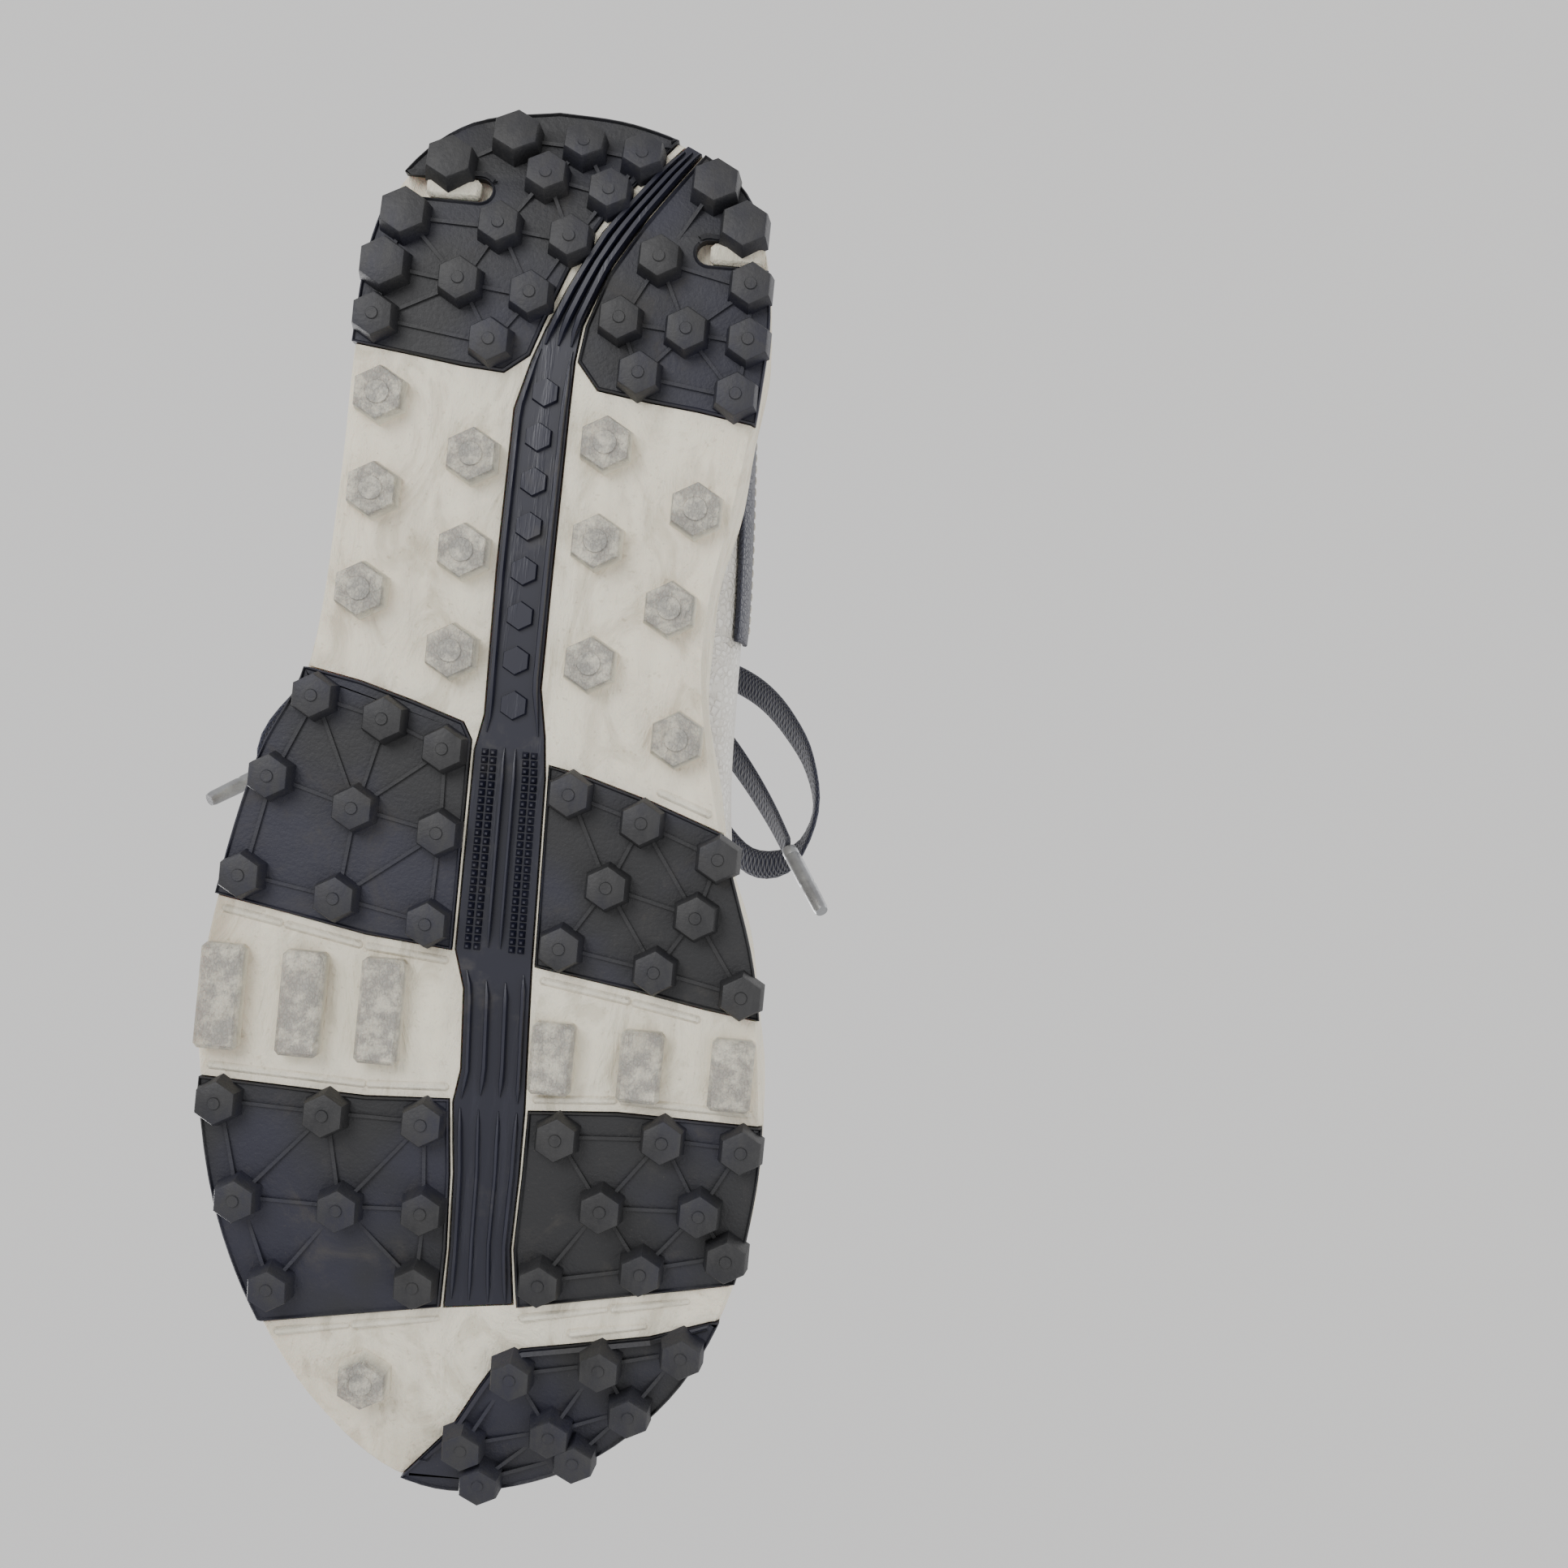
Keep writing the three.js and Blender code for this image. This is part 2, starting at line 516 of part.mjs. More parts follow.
/** One eyelet: a flanged barrel from the lining's inner face to the top of the eyestay. */
function eyeletGeometry({ stack }) {
  const head = stack + 2 * clearance;
  const profile = [[eyeletBore, eyeletFoot], [eyeletOuter, eyeletFoot], [eyeletOuter, head],
    [eyeletOuter + eyeletFlange, head], [eyeletOuter, head + eyeletHead], [eyeletBore, head + eyeletHead],
    [eyeletBore, eyeletFoot]];
  const geometry = new THREE.LatheGeometry(profile.map(([r, z]) => new THREE.Vector2(r, z)), EYELET_SIDES);
  geometry.rotateX(Math.PI / 2);
  return geometry;
}

// ---------------------------------------------------------------- lace
/** Point square above the instep's lining face at plan position (x, y). */
const aboveInstep = (x, y, height) => onInstep(x, y, 0).addScaledVector(instepNormal(x, y), height);

const sockets = Object.fromEntries(eyeletSeats.map(eyelet => [eyelet.name.slice('eyelet_'.length), eyelet]));
const barHeight = eyelet => eyelet.stack + eyeletHead + 3 * clearance + laceRadius;
const BAR_DIP = 1.4;            // the bars dip to this height over the middle of the throat
const lastRow = (eyeletFirst + eyeletPitch * (eyeletRows - 1)) * gradeY;
const knotNormal = instepNormal(throatCentre * gradeX, lastRow);
const knotHeight = tongueTop * INSTEP_SLOPE + 2 * clearance + knotSize[2];
const knotAt = aboveInstep(throatCentre * gradeX, lastRow, knotHeight);
const knotTurn = turnTo(knotNormal);
const CLIMB_START = 0.8;        // height at which the lace stands straight in its barrel

/** The lace climbing through an eyelet, from under the lining to the top. */
function climb(name) {
  const eyelet = sockets[name];
  const level = height => eyelet.at.clone().addScaledVector(eyelet.normal, height);
  return [level(-laceRunDepth), level(CLIMB_START), level(eyelet.stack), level(barHeight(eyelet))];
}
const descend = name => climb(name).reverse();

/** Bar over the throat, from one eyelet to the other of its row. */
function bar(from, to) {
  const start = sockets[from];
  const y = start.at.y;
  const middle = throatCentre * gradeX;
  const edge = throatHalf(y / gradeY);
  return [[start.sign, 1, barHeight(start)], [start.sign, 0.5, BAR_DIP + 1], [0, 0, BAR_DIP],
    [-start.sign, 0.5, BAR_DIP + 1], [-start.sign, 1, barHeight(sockets[to])]]
    .map(([sign, share, height]) => aboveInstep(middle + sign * share * edge, y, height));
}

/** Hidden run under the lining from one eyelet to another, bowed sideways to pass its neighbours. */
function run(from, to, bow = 0) {
  const a = sockets[from].at;
  const b = sockets[to].at;
  return [0.3, 0.5, 0.7].map(share => aboveInstep(
    a.x + (b.x - a.x) * share + bow, a.y + (b.y - a.y) * share, -laceRunDepth));
}

/** From an eyelet of the last row to the side of the knot. */
function tie(name) {
  const eyelet = sockets[name];
  const middle = throatCentre * gradeX;
  const reach = eyelet.sign * throatHalf(eyelet.at.y / gradeY);
  const edge = aboveInstep(middle + reach, eyelet.at.y, barHeight(eyelet));
  const end = knotAt.clone().add(new THREE.Vector3(eyelet.sign * (knotSize[0] + clearance), 0, 0));
  return [edge, end];
}

const bow = 3;                  // sideways bow of the runs that pass another row's eyelets
const laceRoute = [
  ...tie('lateral_5').reverse(), ...descend('lateral_5'), ...run('lateral_5', 'lateral_4').slice(1, 2),
  ...climb('lateral_4'), ...bar('lateral_4', 'medial_4'), ...descend('medial_4'),
  ...run('medial_4', 'medial_2', -bow),
  ...climb('medial_2'), ...bar('medial_2', 'lateral_2'), ...descend('lateral_2'),
  ...run('lateral_2', 'lateral_1').slice(1, 2), ...climb('lateral_1'), ...bar('lateral_1', 'medial_1'),
  ...descend('medial_1'), ...run('medial_1', 'medial_3', bow), ...climb('medial_3'),
  ...bar('medial_3', 'lateral_3'),
  ...descend('lateral_3'), ...run('lateral_3', 'medial_5'), ...climb('medial_5'), ...tie('medial_5'),
];

// Facets round each cord, and steps along it.
const RUN_SIDES = 6;
const RUN_STEPS = 120;
const LACE_SIDES = 8;
const LOOP_STEPS = 28;
const END_STEPS = 12;

/** Round cord along a route. */
function cord(route, radius, sides, steps) {
  const section = new THREE.Shape();
  for (let i = 0; i < sides; i += 1) {
    const angle = 2 * Math.PI * i / sides;
    if (i === 0) section.moveTo(radius, 0);
    else section.lineTo(radius * Math.cos(angle), radius * Math.sin(angle));
  }
  const path = new THREE.CatmullRomCurve3(route, false, 'centripetal');
  return new THREE.ExtrudeGeometry(section, { steps, bevelEnabled: false, extrudePath: path });
}

const points3 = list => list.map(([x, y, z]) => new THREE.Vector3(x, y, z));
const loopRoutes = {
  lateral: [[8.8, 37.6, 122.8], [14, 38.4, 126.4], [22, 39.5, 126.2], [31, 38.5, 117.5], [40, 36, 106],
    [48, 32, 94.5], [56, 26, 83], [64, 17, 71.5], [69, 5, 64.5], [65, -7, 67], [56, -11.5, 77],
    [46.5, -8.5, 90], [38, 1, 101], [30, 13, 111.5], [22.5, 23.5, 119.8], [16, 29, 123.8],
    [11, 31.5, 125.4], [6.5, 34.5, 124.6]],
  medial: [[-10.8, 37.6, 122.8], [-16, 38.4, 126.4], [-24, 39.5, 126.2], [-33, 38.5, 117], [-42, 35.5, 105],
    [-50, 31, 93.5], [-57, 24, 81.5], [-63, 14.5, 71], [-65.5, 3, 65.5], [-61.5, -8, 68.5],
    [-52.5, -11.5, 79.5], [-43.5, -6, 92.5], [-35.5, 5, 103], [-28.5, 16, 112.5], [-23, 24.5, 119.8],
    [-17, 29.5, 123.9], [-12.5, 31.5, 125.4], [-8.5, 34.5, 124.6]],
};
const endRoutes = {
  lateral: [[6.2, 31.2, 116.6], [12, 29.2, 118.9], [18, 28.6, 117.8], [25, 28, 113.2], [32, 26, 105.5],
    [40, 22, 95], [48, 16, 83.5], [56, 9, 72.5], [62.5, 3, 63]],
  medial: [[-8.2, 31.2, 116.6], [-14, 29.2, 118.6], [-20, 28.6, 117.6], [-27, 28, 112.8], [-34, 24.5, 103.5],
    [-42, 17, 91.5], [-49, 9, 80], [-55, 1, 69], [-59.5, -6, 59.5]],
};
const AGLET_SIDES = 10;
const agletEnds = {
  lateral: [[62.9, 2.6, 62.4], [75.9, -7.4, 48.9]],
  medial: [[-59.9, -6.5, 58.8], [-68.7, -19.5, 45]],
};

/** Sheathed tip of the lace, between two points. */
function agletGeometry([from, to]) {
  const start = new THREE.Vector3(...from);
  const axis = new THREE.Vector3(...to).sub(start);
  const tip = agletRadius * agletTaper;
  const geometry = new THREE.CylinderGeometry(tip, agletRadius, axis.length(), AGLET_SIDES);
  geometry.rotateX(Math.PI / 2);
  geometry.applyQuaternion(turnTo(axis.clone().normalize()));
  geometry.translate(...start.addScaledVector(axis, 0.5).toArray());
  return geometry;
}

// ---------------------------------------------------------------- overlays
const foxingLow = y => rimTop(y) + clearance;
const foxingFront = 40;
const foxingBack = 160;        // past the heel
const FOXING_STEP = 20;
const foxingTop = [[120, 44], [90, 39], [60, 31], [47, 28], [41.5, 24], [foxingFront, 18]];
const foxingOutline = [[foxingBack, 48], ...foxingTop].map(([y, rise]) => [y, heelSeat + rise]);
for (let y = foxingFront; y <= foxingBack; y += FOXING_STEP) {
  foxingOutline.push([y, foxingLow(y * gradeY)]);
}
const heelFoxing = shell(overlayInner, overlayOuter).intersect(sidePrism(side(foxingOutline)));

const eyestayWidth = 15;
const eyestayFront = -22;
const eyestayBack = 42;
const eyestayToe = 8;          // half width of its front end, past the throat's
const eyestayShell = shell(overlayInner, overlayOuter).subtract(throatPrism(eyestaySetback))
  .subtract(collarOpening).subtract(eyeletHoles);
function eyestay(sign) {
  const edge = y => throatCentre + sign * (throatHalf(y) + eyestayWidth);
  const outline = [[throatCentre, eyestayFront],
    [throatCentre + sign * (throatHalfFront + eyestayToe), eyestayFront],
    [edge(eyestayFront), eyestayFront + 7], [edge(10), 10], [edge(eyestayBack), eyestayBack],
    [throatCentre, eyestayBack]];
  return eyestayShell.intersect(planPrism(graded(outline), INSTEP_LEVEL, FAR));
}

// ---------------------------------------------------------------- lining and padding
const liningSeam = -15;
const liningShell = openedShell(0, liningThickness).subtract(eyeletHoles);
const sideRegion = (front, back) => sidePrism(side([[front, -50], [back, -50], [back, 300], [front, 300]]));
const liningFront = sideRegion(-200, liningSeam - kerf);
const liningRear = sideRegion(liningSeam + kerf, 200);
const collarPadFront = 52;
const padLower = aboveTopline(-collarPadDepth);
const padRegion = padLower.subtract(aboveTopline(collarRoll))
  .intersect(sideRegion(collarPadFront, 200));
const collarPadding = shell(-clearance - collarPad, -clearance).intersect(padRegion);

const sockliner = lastSolid(-clearance).intersect(slab(() => -FAR, y => seat(y) + sockThickness));

// ---------------------------------------------------------------- tongue
const tongueFront = -37;
const tongueBase = -28;
const tongueBack = 50;
const tongueHalf = 21;
const tongueRoot = 1;          // the base strip runs this far into the pad
const tongueOutline = graded([[-14, tongueFront], [12, tongueFront], [16, -20], [tongueHalf, 10],
  [tongueHalf - 1, 40], [15, tongueBack], [-17, tongueBack], [-tongueHalf - 1, 40], [-tongueHalf - 1, 10],
  [-17, -20]]);
const tongueBlank = planPrism(tongueOutline, INSTEP_LEVEL - 4, FAR);
const tongueStrip = sideRegion(tongueFront - 1, tongueBase);
const tongue = shell(tongueTop - tonguePad, tongueTop).intersect(tongueBlank)
  .add(shell(tongueTop - tongueRoot, -clearance).intersect(tongueBlank).intersect(tongueStrip));

// ---------------------------------------------------------------- assembly
const midsoleBlock = solePrism.intersect(slab(plateFace, rimTop));

/** A flex rib of the band, standing across the shoe. */
function flexRib(x, from, to) {
  const middle = (from + to) / 2 * gradeY;
  const height = lugHeight + lugRoot - ribDrop;
  const rib = new THREE.BoxGeometry(ribWidth, (to - from) * gradeY, height);
  rib.translate(x * gradeX, middle, ground(middle) + ribDrop + height / 2);
  return solid(rib);
}

function buildMidsole() {
  const pockets = Object.keys(podOutlines).map(name => {
    const pocket = planPrism(offsetOutline(graded(podOutlines[name]), clearance)).intersect(pocketSlab);
    return notches[name] ? pocket.subtract(notch(notches[name], clearance)) : pocket;
  });
  pockets.push(planPrism(offsetOutline(graded(spineOutline), clearance)).intersect(pocketSlab));
  const cup = lastSolid(upperOuter + clearance);
  const lugs = foamLugCentres.map(([x, y]) => cleat([x, y, foamLug], foamLugDrop));
  const ribs = ribBands.flatMap(({ across, from, to }) => across.map(x => flexRib(x, from, to)));
  return joined([midsoleBlock.subtract(joined(pockets)).subtract(cup), ...lugs, ...ribs]);
}

const FOAM = { color: 0xe6e1d2, roughness: 0.85 };
const RUBBER = { color: 0x2c2c30, roughness: 0.7 };
const MOULDED = { color: 0x23243a, roughness: 0.5 };
const WHITE_LEATHER = { color: 0xeceae4, roughness: 0.45 };
const NAVY_LEATHER = { color: 0x1a1d33, roughness: 0.4 };
const NAVY_CLOTH = { color: 0x1c2038, roughness: 0.9 };
const BOARD = { color: 0xd9d2c0, roughness: 0.95 };
const LACE = { color: 0x1b1f36, roughness: 0.85 };
const EYELET = { color: 0x202233, roughness: 0.35, metalness: 0.6 };
const METAL = { color: 0xa9abae, roughness: 0.3, metalness: 0.9 };

const shoe = new THREE.Group();
function place(name, geometry, finish) {
  const mesh = new THREE.Mesh(geometry, new THREE.MeshStandardMaterial(finish));
  mesh.name = name;
  shoe.add(mesh);
  return mesh;
}
const add = (name, manifold, finish) => place(name, geometryOf(manifold), finish);

add('midsole', buildMidsole(), FOAM);
add('shank_spine', spine, MOULDED);
for (const name of Object.keys(podOutlines)) {
  add(name, pod(name), RUBBER);
}

const quarters = leatherShell.intersect(quarterRegion).subtract(counterPocket).subtract(eyeletHoles);
add('toe_cap', leatherShell.intersect(capRegion).subtract(puffPocket), WHITE_LEATHER);
add('vamp', leatherShell.intersect(vampRegion), WHITE_LEATHER);
add('quarter_medial', quarters.intersect(medialHalf), WHITE_LEATHER);
add('quarter_lateral', quarters.intersect(lateralHalf), WHITE_LEATHER);
add('heel_foxing', heelFoxing, NAVY_LEATHER);
add('eyestay_medial', eyestay(-1), WHITE_LEATHER);
add('eyestay_lateral', eyestay(1), WHITE_LEATHER);
add('toe_puff', toePuff, BOARD);
add('heel_counter', heelCounter, BOARD);
add('vamp_lining', liningShell.intersect(liningFront), NAVY_CLOTH);
add('quarter_lining', liningShell.intersect(liningRear), NAVY_CLOTH);
add('collar_padding', collarPadding, NAVY_CLOTH);
add('strobel_board', strobelBoard, BOARD);
add('sockliner', sockliner, NAVY_CLOTH);
add('tongue', tongue, NAVY_CLOTH);
for (const eyelet of eyeletSeats) {
  const mesh = place(eyelet.name, eyeletGeometry(eyelet), EYELET);
  mesh.position.copy(eyelet.at);
  mesh.quaternion.copy(turnTo(eyelet.normal));
}

const KNOT_FACETS = [10, 6];
const knot = place('lace_knot', new THREE.SphereGeometry(1, ...KNOT_FACETS), LACE);
knot.scale.set(...knotSize);
knot.quaternion.copy(knotTurn);
knot.position.copy(knotAt);
place('lace_run', cord(laceRoute, laceRadius, RUN_SIDES, RUN_STEPS), LACE);

const freeLace = [];
for (const name of Object.keys(SIDES)) {
  const loop = cord(points3(loopRoutes[name]), freeLaceRadius, LACE_SIDES, LOOP_STEPS);
  const end = cord(points3(endRoutes[name]), freeLaceRadius, LACE_SIDES, END_STEPS);
  freeLace.push(place(`lace_loop_${name}`, loop, LACE));
  freeLace.push(place(`lace_end_${name}`, end, LACE));
  freeLace.push(place(`aglet_${name}`, agletGeometry(agletEnds[name]), METAL));
}

// The origin is under the middle of the shoe's box, taken without the free lace.
shoe.remove(...freeLace);
const extent = new THREE.Box3().setFromObject(shoe, true);
shoe.add(...freeLace);
shoe.position.set(-(extent.min.x + extent.max.x) / 2, -(extent.min.y + extent.max.y) / 2, -extent.min.z);

export default shoe;
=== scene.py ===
"""Looks of the golf shoe: the cleated sole, the stitched upper, the tongue, the eyelets and the tied lace.

Pattern lines are in millimetres, with the toe along -Y and the outer side along +X.
Finished meshes are in metres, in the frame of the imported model.
"""

import logging
import math
from collections.abc import Callable, Sequence
from dataclasses import dataclass, field
from enum import Enum
from functools import lru_cache

import bmesh
import bpy
from mathutils import Matrix, Vector, noise
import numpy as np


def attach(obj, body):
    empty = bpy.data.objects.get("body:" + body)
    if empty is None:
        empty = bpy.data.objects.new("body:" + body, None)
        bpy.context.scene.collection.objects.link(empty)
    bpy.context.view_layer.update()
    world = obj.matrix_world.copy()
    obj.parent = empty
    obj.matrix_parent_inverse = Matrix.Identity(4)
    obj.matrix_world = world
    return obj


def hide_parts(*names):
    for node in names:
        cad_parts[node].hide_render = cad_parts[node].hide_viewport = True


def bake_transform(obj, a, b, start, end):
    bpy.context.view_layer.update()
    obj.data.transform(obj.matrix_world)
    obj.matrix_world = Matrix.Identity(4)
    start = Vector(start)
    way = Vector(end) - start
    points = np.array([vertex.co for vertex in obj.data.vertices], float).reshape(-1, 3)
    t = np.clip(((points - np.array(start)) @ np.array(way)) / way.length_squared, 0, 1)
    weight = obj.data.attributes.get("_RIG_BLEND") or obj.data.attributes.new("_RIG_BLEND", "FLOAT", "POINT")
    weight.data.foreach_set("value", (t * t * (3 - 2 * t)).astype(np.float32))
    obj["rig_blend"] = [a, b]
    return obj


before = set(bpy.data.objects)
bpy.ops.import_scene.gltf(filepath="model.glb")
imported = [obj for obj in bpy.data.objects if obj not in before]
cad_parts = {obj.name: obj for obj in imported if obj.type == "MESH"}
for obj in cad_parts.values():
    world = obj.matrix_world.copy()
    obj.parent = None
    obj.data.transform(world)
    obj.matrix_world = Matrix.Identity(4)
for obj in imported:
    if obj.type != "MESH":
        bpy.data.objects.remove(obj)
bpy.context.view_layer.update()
LOG = logging.getLogger("shoe")
# From the pattern's origin to the frame's, in millimetres.
SHIFT = Vector((-0.34586, 2.7, 0.0))
MM = 0.001
# Room between pieces that are fitted together.
CLEAR = 0.3
# Fold in degrees past which an edge stays crisp.
CRISP = 38.0
# Length of the strips that long pieces are divided into.
STRIP = 6.0
Pair = tuple[float, float]
Colour = tuple[float, float, float]


def placed(x: float, y: float, z: float) -> Vector:
    """A pattern point as a point of the frame, in metres."""
    return (Vector((x, y, z)) + SHIFT) * MM


# --- shader helpers
class Signal:
    """One number of a material's node tree, with Python's operators."""

    def __init__(self, graph: "Graph", socket: bpy.types.NodeSocket) -> None:
        """Wraps a socket.

        Args:
            graph: the material's graph.
            socket: an output socket that carries a number.
        """
        self.graph = graph
        self.socket = socket

    def _math(self, operation: str, first: object, second: object) -> "Signal":
        """Adds a Math node and returns its output."""
        node = self.graph.node("ShaderNodeMath", {"operation": operation}, {0: first, 1: second})
        return Signal(self.graph, node.outputs[0])

    def __add__(self, other: object) -> "Signal":
        """Sum."""
        return self._math("ADD", self, other)

    def __radd__(self, other: object) -> "Signal":
        """Sum, reflected."""
        return self._math("ADD", other, self)

    def __sub__(self, other: object) -> "Signal":
        """Difference."""
        return self._math("SUBTRACT", self, other)

    def __rsub__(self, other: object) -> "Signal":
        """Difference, reflected."""
        return self._math("SUBTRACT", other, self)

    def __mul__(self, other: object) -> "Signal":
        """Product."""
        return self._math("MULTIPLY", self, other)

    def __rmul__(self, other: object) -> "Signal":
        """Product, reflected."""
        return self._math("MULTIPLY", other, self)

    def __pow__(self, other: object) -> "Signal":
        """Power."""
        return self._math("POWER", self, other)

    def largest(self, other: object) -> "Signal":
        """The larger of two numbers."""
        return self._math("MAXIMUM", self, other)

    def smallest(self, other: object) -> "Signal":
        """The smaller of two numbers."""
        return self._math("MINIMUM", self, other)

    def ease(self, low: float, high: float) -> "Signal":
        """0 below low, 1 above high, and smooth between them."""
        node = self.graph.node(
            "ShaderNodeMapRange",
            {"interpolation_type": "SMOOTHSTEP"},
            {0: self, 1: low, 2: high, 3: 0.0, 4: 1.0},
        )
        return Signal(self.graph, node.outputs[0])


class Graph:
    """A material under construction."""

    def __init__(self, name: str) -> None:
        """Starts an empty material of that name."""
        self.material = bpy.data.materials.new(name)
        self.material.use_nodes = True
        self.tree = self.material.node_tree
        self.tree.nodes.clear()

    def node(
        self,
        kind: str,
        settings: dict[str, object] | None = None,
        inputs: dict[int | str, object] | None = None,
    ) -> bpy.types.Node:
        """Adds a node.

        Args:
            kind: the node's type.
            settings: its properties, which are set first.
            inputs: a number, a colour, a vector, a socket or a Signal for each named or numbered input.

        Returns:
            The new node.
        """
        made = self.tree.nodes.new(kind)
        for key, value in (settings or {}).items():
            setattr(made, key, value)
        for key, value in (inputs or {}).items():
            if isinstance(value, Signal):
                value = value.socket
            if isinstance(value, bpy.types.NodeSocket):
                self.tree.links.new(value, made.inputs[key])
            else:
                made.inputs[key].default_value = value
        return made

    def place(
        self, stretch: Sequence[float] = (1, 1, 1), turn: Sequence[float] = (0, 0, 0)
    ) -> bpy.types.NodeSocket:
        """Object coordinates, stretched and turned."""
        source = self.node("ShaderNodeTexCoord").outputs["Object"]
        mapping = self.node("ShaderNodeMapping", None, {"Vector": source, "Rotation": turn, "Scale": stretch})
        return mapping.outputs[0]

    def cloth_place(self, stretch: Sequence[float], turn: float = 0.0) -> bpy.types.NodeSocket:
        """The piece's own UV map, stretched and turned about the surface's normal."""
        source = self.node("ShaderNodeUVMap", {"uv_map": "Cloth"}).outputs[0]
        values = {"Vector": source, "Rotation": (0, 0, turn), "Scale": stretch}
        return self.node("ShaderNodeMapping", None, values).outputs[0]

    def noise(
        self, scale: float, detail: float = 4.0, rough: float = 0.55, where: object = None, warp: float = 0.0
    ) -> Signal:
        """Cloudy noise from 0 to 1."""
        where = self.place() if where is None else where
        values = {"Vector": where, "Scale": scale, "Detail": detail, "Roughness": rough, "Distortion": warp}
        return Signal(self, self.node("ShaderNodeTexNoise", None, values).outputs[0])

    def cells(self, scale: float, feature: str = "DISTANCE_TO_EDGE", where: object = None) -> Signal:
        """Distance field of a cell pattern."""
        where = self.place() if where is None else where
        node = self.node("ShaderNodeTexVoronoi", {"feature": feature}, {"Vector": where, "Scale": scale})
        return Signal(self, node.outputs["Distance"])

    def bands(self, scale: float, where: object, warp: float = 0.0) -> Signal:
        """Sine bands across the X axis of the given coordinates."""
        values = {"Vector": where, "Scale": scale, "Distortion": warp, "Detail": 2.0, "Detail Scale": 1.5}
        return Signal(self, self.node("ShaderNodeTexWave", None, values).outputs[1])

    def worn(self) -> Signal:
        """The wear that the mesh carries: 0 on sheltered surfaces and 1 on those that rub."""
        node = self.node("ShaderNodeAttribute", {"attribute_name": "wear"})
        return Signal(self, node.outputs["Fac"])

    def mix(self, factor: object, first: object, second: object) -> bpy.types.NodeSocket:
        """Mixes two colours."""
        first = (*first, 1.0) if isinstance(first, tuple) else first
        second = (*second, 1.0) if isinstance(second, tuple) else second
        node = self.node("ShaderNodeMix", {"data_type": "RGBA"}, {0: factor, 6: first, 7: second})
        return node.outputs[2]

    def bump(
        self, height: object, depth: float, strength: float = 1.0, below: object = None
    ) -> bpy.types.NodeSocket:
        """Bumps of that depth in metres, on top of other bumps if they are given."""
        values: dict[int | str, object] = {"Height": height, "Distance": depth, "Strength": strength}
        if below is not None:
            values["Normal"] = below
        return self.node("ShaderNodeBump", None, values).outputs[0]

    def surface(self, **values: object) -> bpy.types.Material:
        """Closes the material with a Principled surface.

        Args:
            values: its inputs, with spaces written as underscores.

        Returns:
            The finished material.
        """
        inputs: dict[int | str, object] = {key.replace("_", " "): value for key, value in values.items()}
        shader = self.node("ShaderNodeBsdfPrincipled", None, inputs)
        self.node("ShaderNodeOutputMaterial", None, {"Surface": shader.outputs[0]})
        return self.material


# --- finishes
@dataclass(frozen=True)
class Foam:
    """Cast foam: fibrous wrinkles, soiled in its folds and rubbed grey where it meets the ground."""

    name: str = "foam"
    clean: Colour = (0.76, 0.705, 0.575)
    soiled: Colour = (0.36, 0.31, 0.22)
    rubbed: Colour = (0.30, 0.285, 0.255)

    def build(self) -> bpy.types.Material:
        """Builds the material.

        Returns:
            The material.
        """
        g = Graph(self.name)
        fibre = g.noise(190, 7, 0.68, g.place((1.0, 0.35, 1.0)), 1.1)
        wrinkle = g.noise(70, 5, 0.6, g.place((1.0, 0.5, 1.0), (0, 0, 0.3)), 2.2)
        cracks = g.cells(1500, where=g.place((1.0, 0.6, 1.0))).ease(0.0, 0.2)
        stain = g.noise(22, 5, 0.6).ease(0.48, 0.72)
        specks = g.noise(900, 2, 0.5).ease(0.66, 0.74)
        folds = (1.0 - wrinkle.ease(0.36, 0.52)) * 0.75
        pores = g.noise(420, 4, 0.7).ease(0.60, 0.72)
        dirt = (stain * 0.35 + folds * 0.45 + specks * 0.3 + pores * 0.3).smallest(1.0)
        base = g.mix(dirt, self.clean, self.soiled)
        grey = g.worn() * (0.45 + 0.55 * g.noise(230, 6, 0.75).ease(0.36, 0.58))
        colour = g.mix(grey, base, g.mix((1.0 - cracks) * 0.35, self.rubbed, (0.17, 0.16, 0.145)))
        relief = g.bump(wrinkle + fibre * 0.6, 0.0016, 0.9)
        relief = g.bump(cracks * g.worn(), 0.00015, 0.5, relief)
        return g.surface(
            Base_Color=colour, Roughness=0.78 + 0.15 * fibre, Normal=relief, Subsurface_Weight=0.06
        )


@dataclass(frozen=True)
class Rubber:
    """Moulded rubber with a dusty bloom, scuffed tips, and random patches of a painted bluish sheen."""

    name: str = "pod_rubber"
    dark: Colour = (0.0095, 0.0098, 0.0115)
    # Colour of the painted sheen: a lighter bluish highlight laid into the base colour in random patches.
    painted_sheen: Colour = (0.0115, 0.012, 0.024)
    dust: Colour = (0.055, 0.050, 0.043)
    scuffed: Colour = (0.024, 0.024, 0.025)

    def build(self) -> bpy.types.Material:
        """Builds the material.

        Returns:
            The material.
        """
        g = Graph(self.name)
        painted_sheen_patches = g.noise(28, 3, 0.5).ease(0.42, 0.62)
        grain = g.noise(1300, 3, 0.6)
        dusty = g.noise(60, 7, 0.72, None, 0.8).ease(0.52, 0.78) * 0.55
        grit = g.noise(1900, 2, 0.6).ease(0.68, 0.76) * 0.5
        scuff = g.worn() * g.noise(240, 5, 0.7, g.place((1.0, 0.4, 1.0))).ease(0.30, 0.70)
        # Painted sheen: random patches take the lighter bluish colour, which stands in for light glancing off
        # the rubber.
        colour = g.mix(painted_sheen_patches, self.dark, self.painted_sheen)
        colour = g.mix((dusty + grit).smallest(0.8), colour, self.dust)
        colour = g.mix(scuff * 0.9, colour, self.scuffed)
        relief = g.bump(grain, 0.00025, 0.5)
        relief = g.bump(g.noise(170, 4, 0.6), 0.0004, 0.4, relief)
        return g.surface(Base_Color=colour, Roughness=0.52 + 0.3 * dusty + 0.14 * grain, Normal=relief)


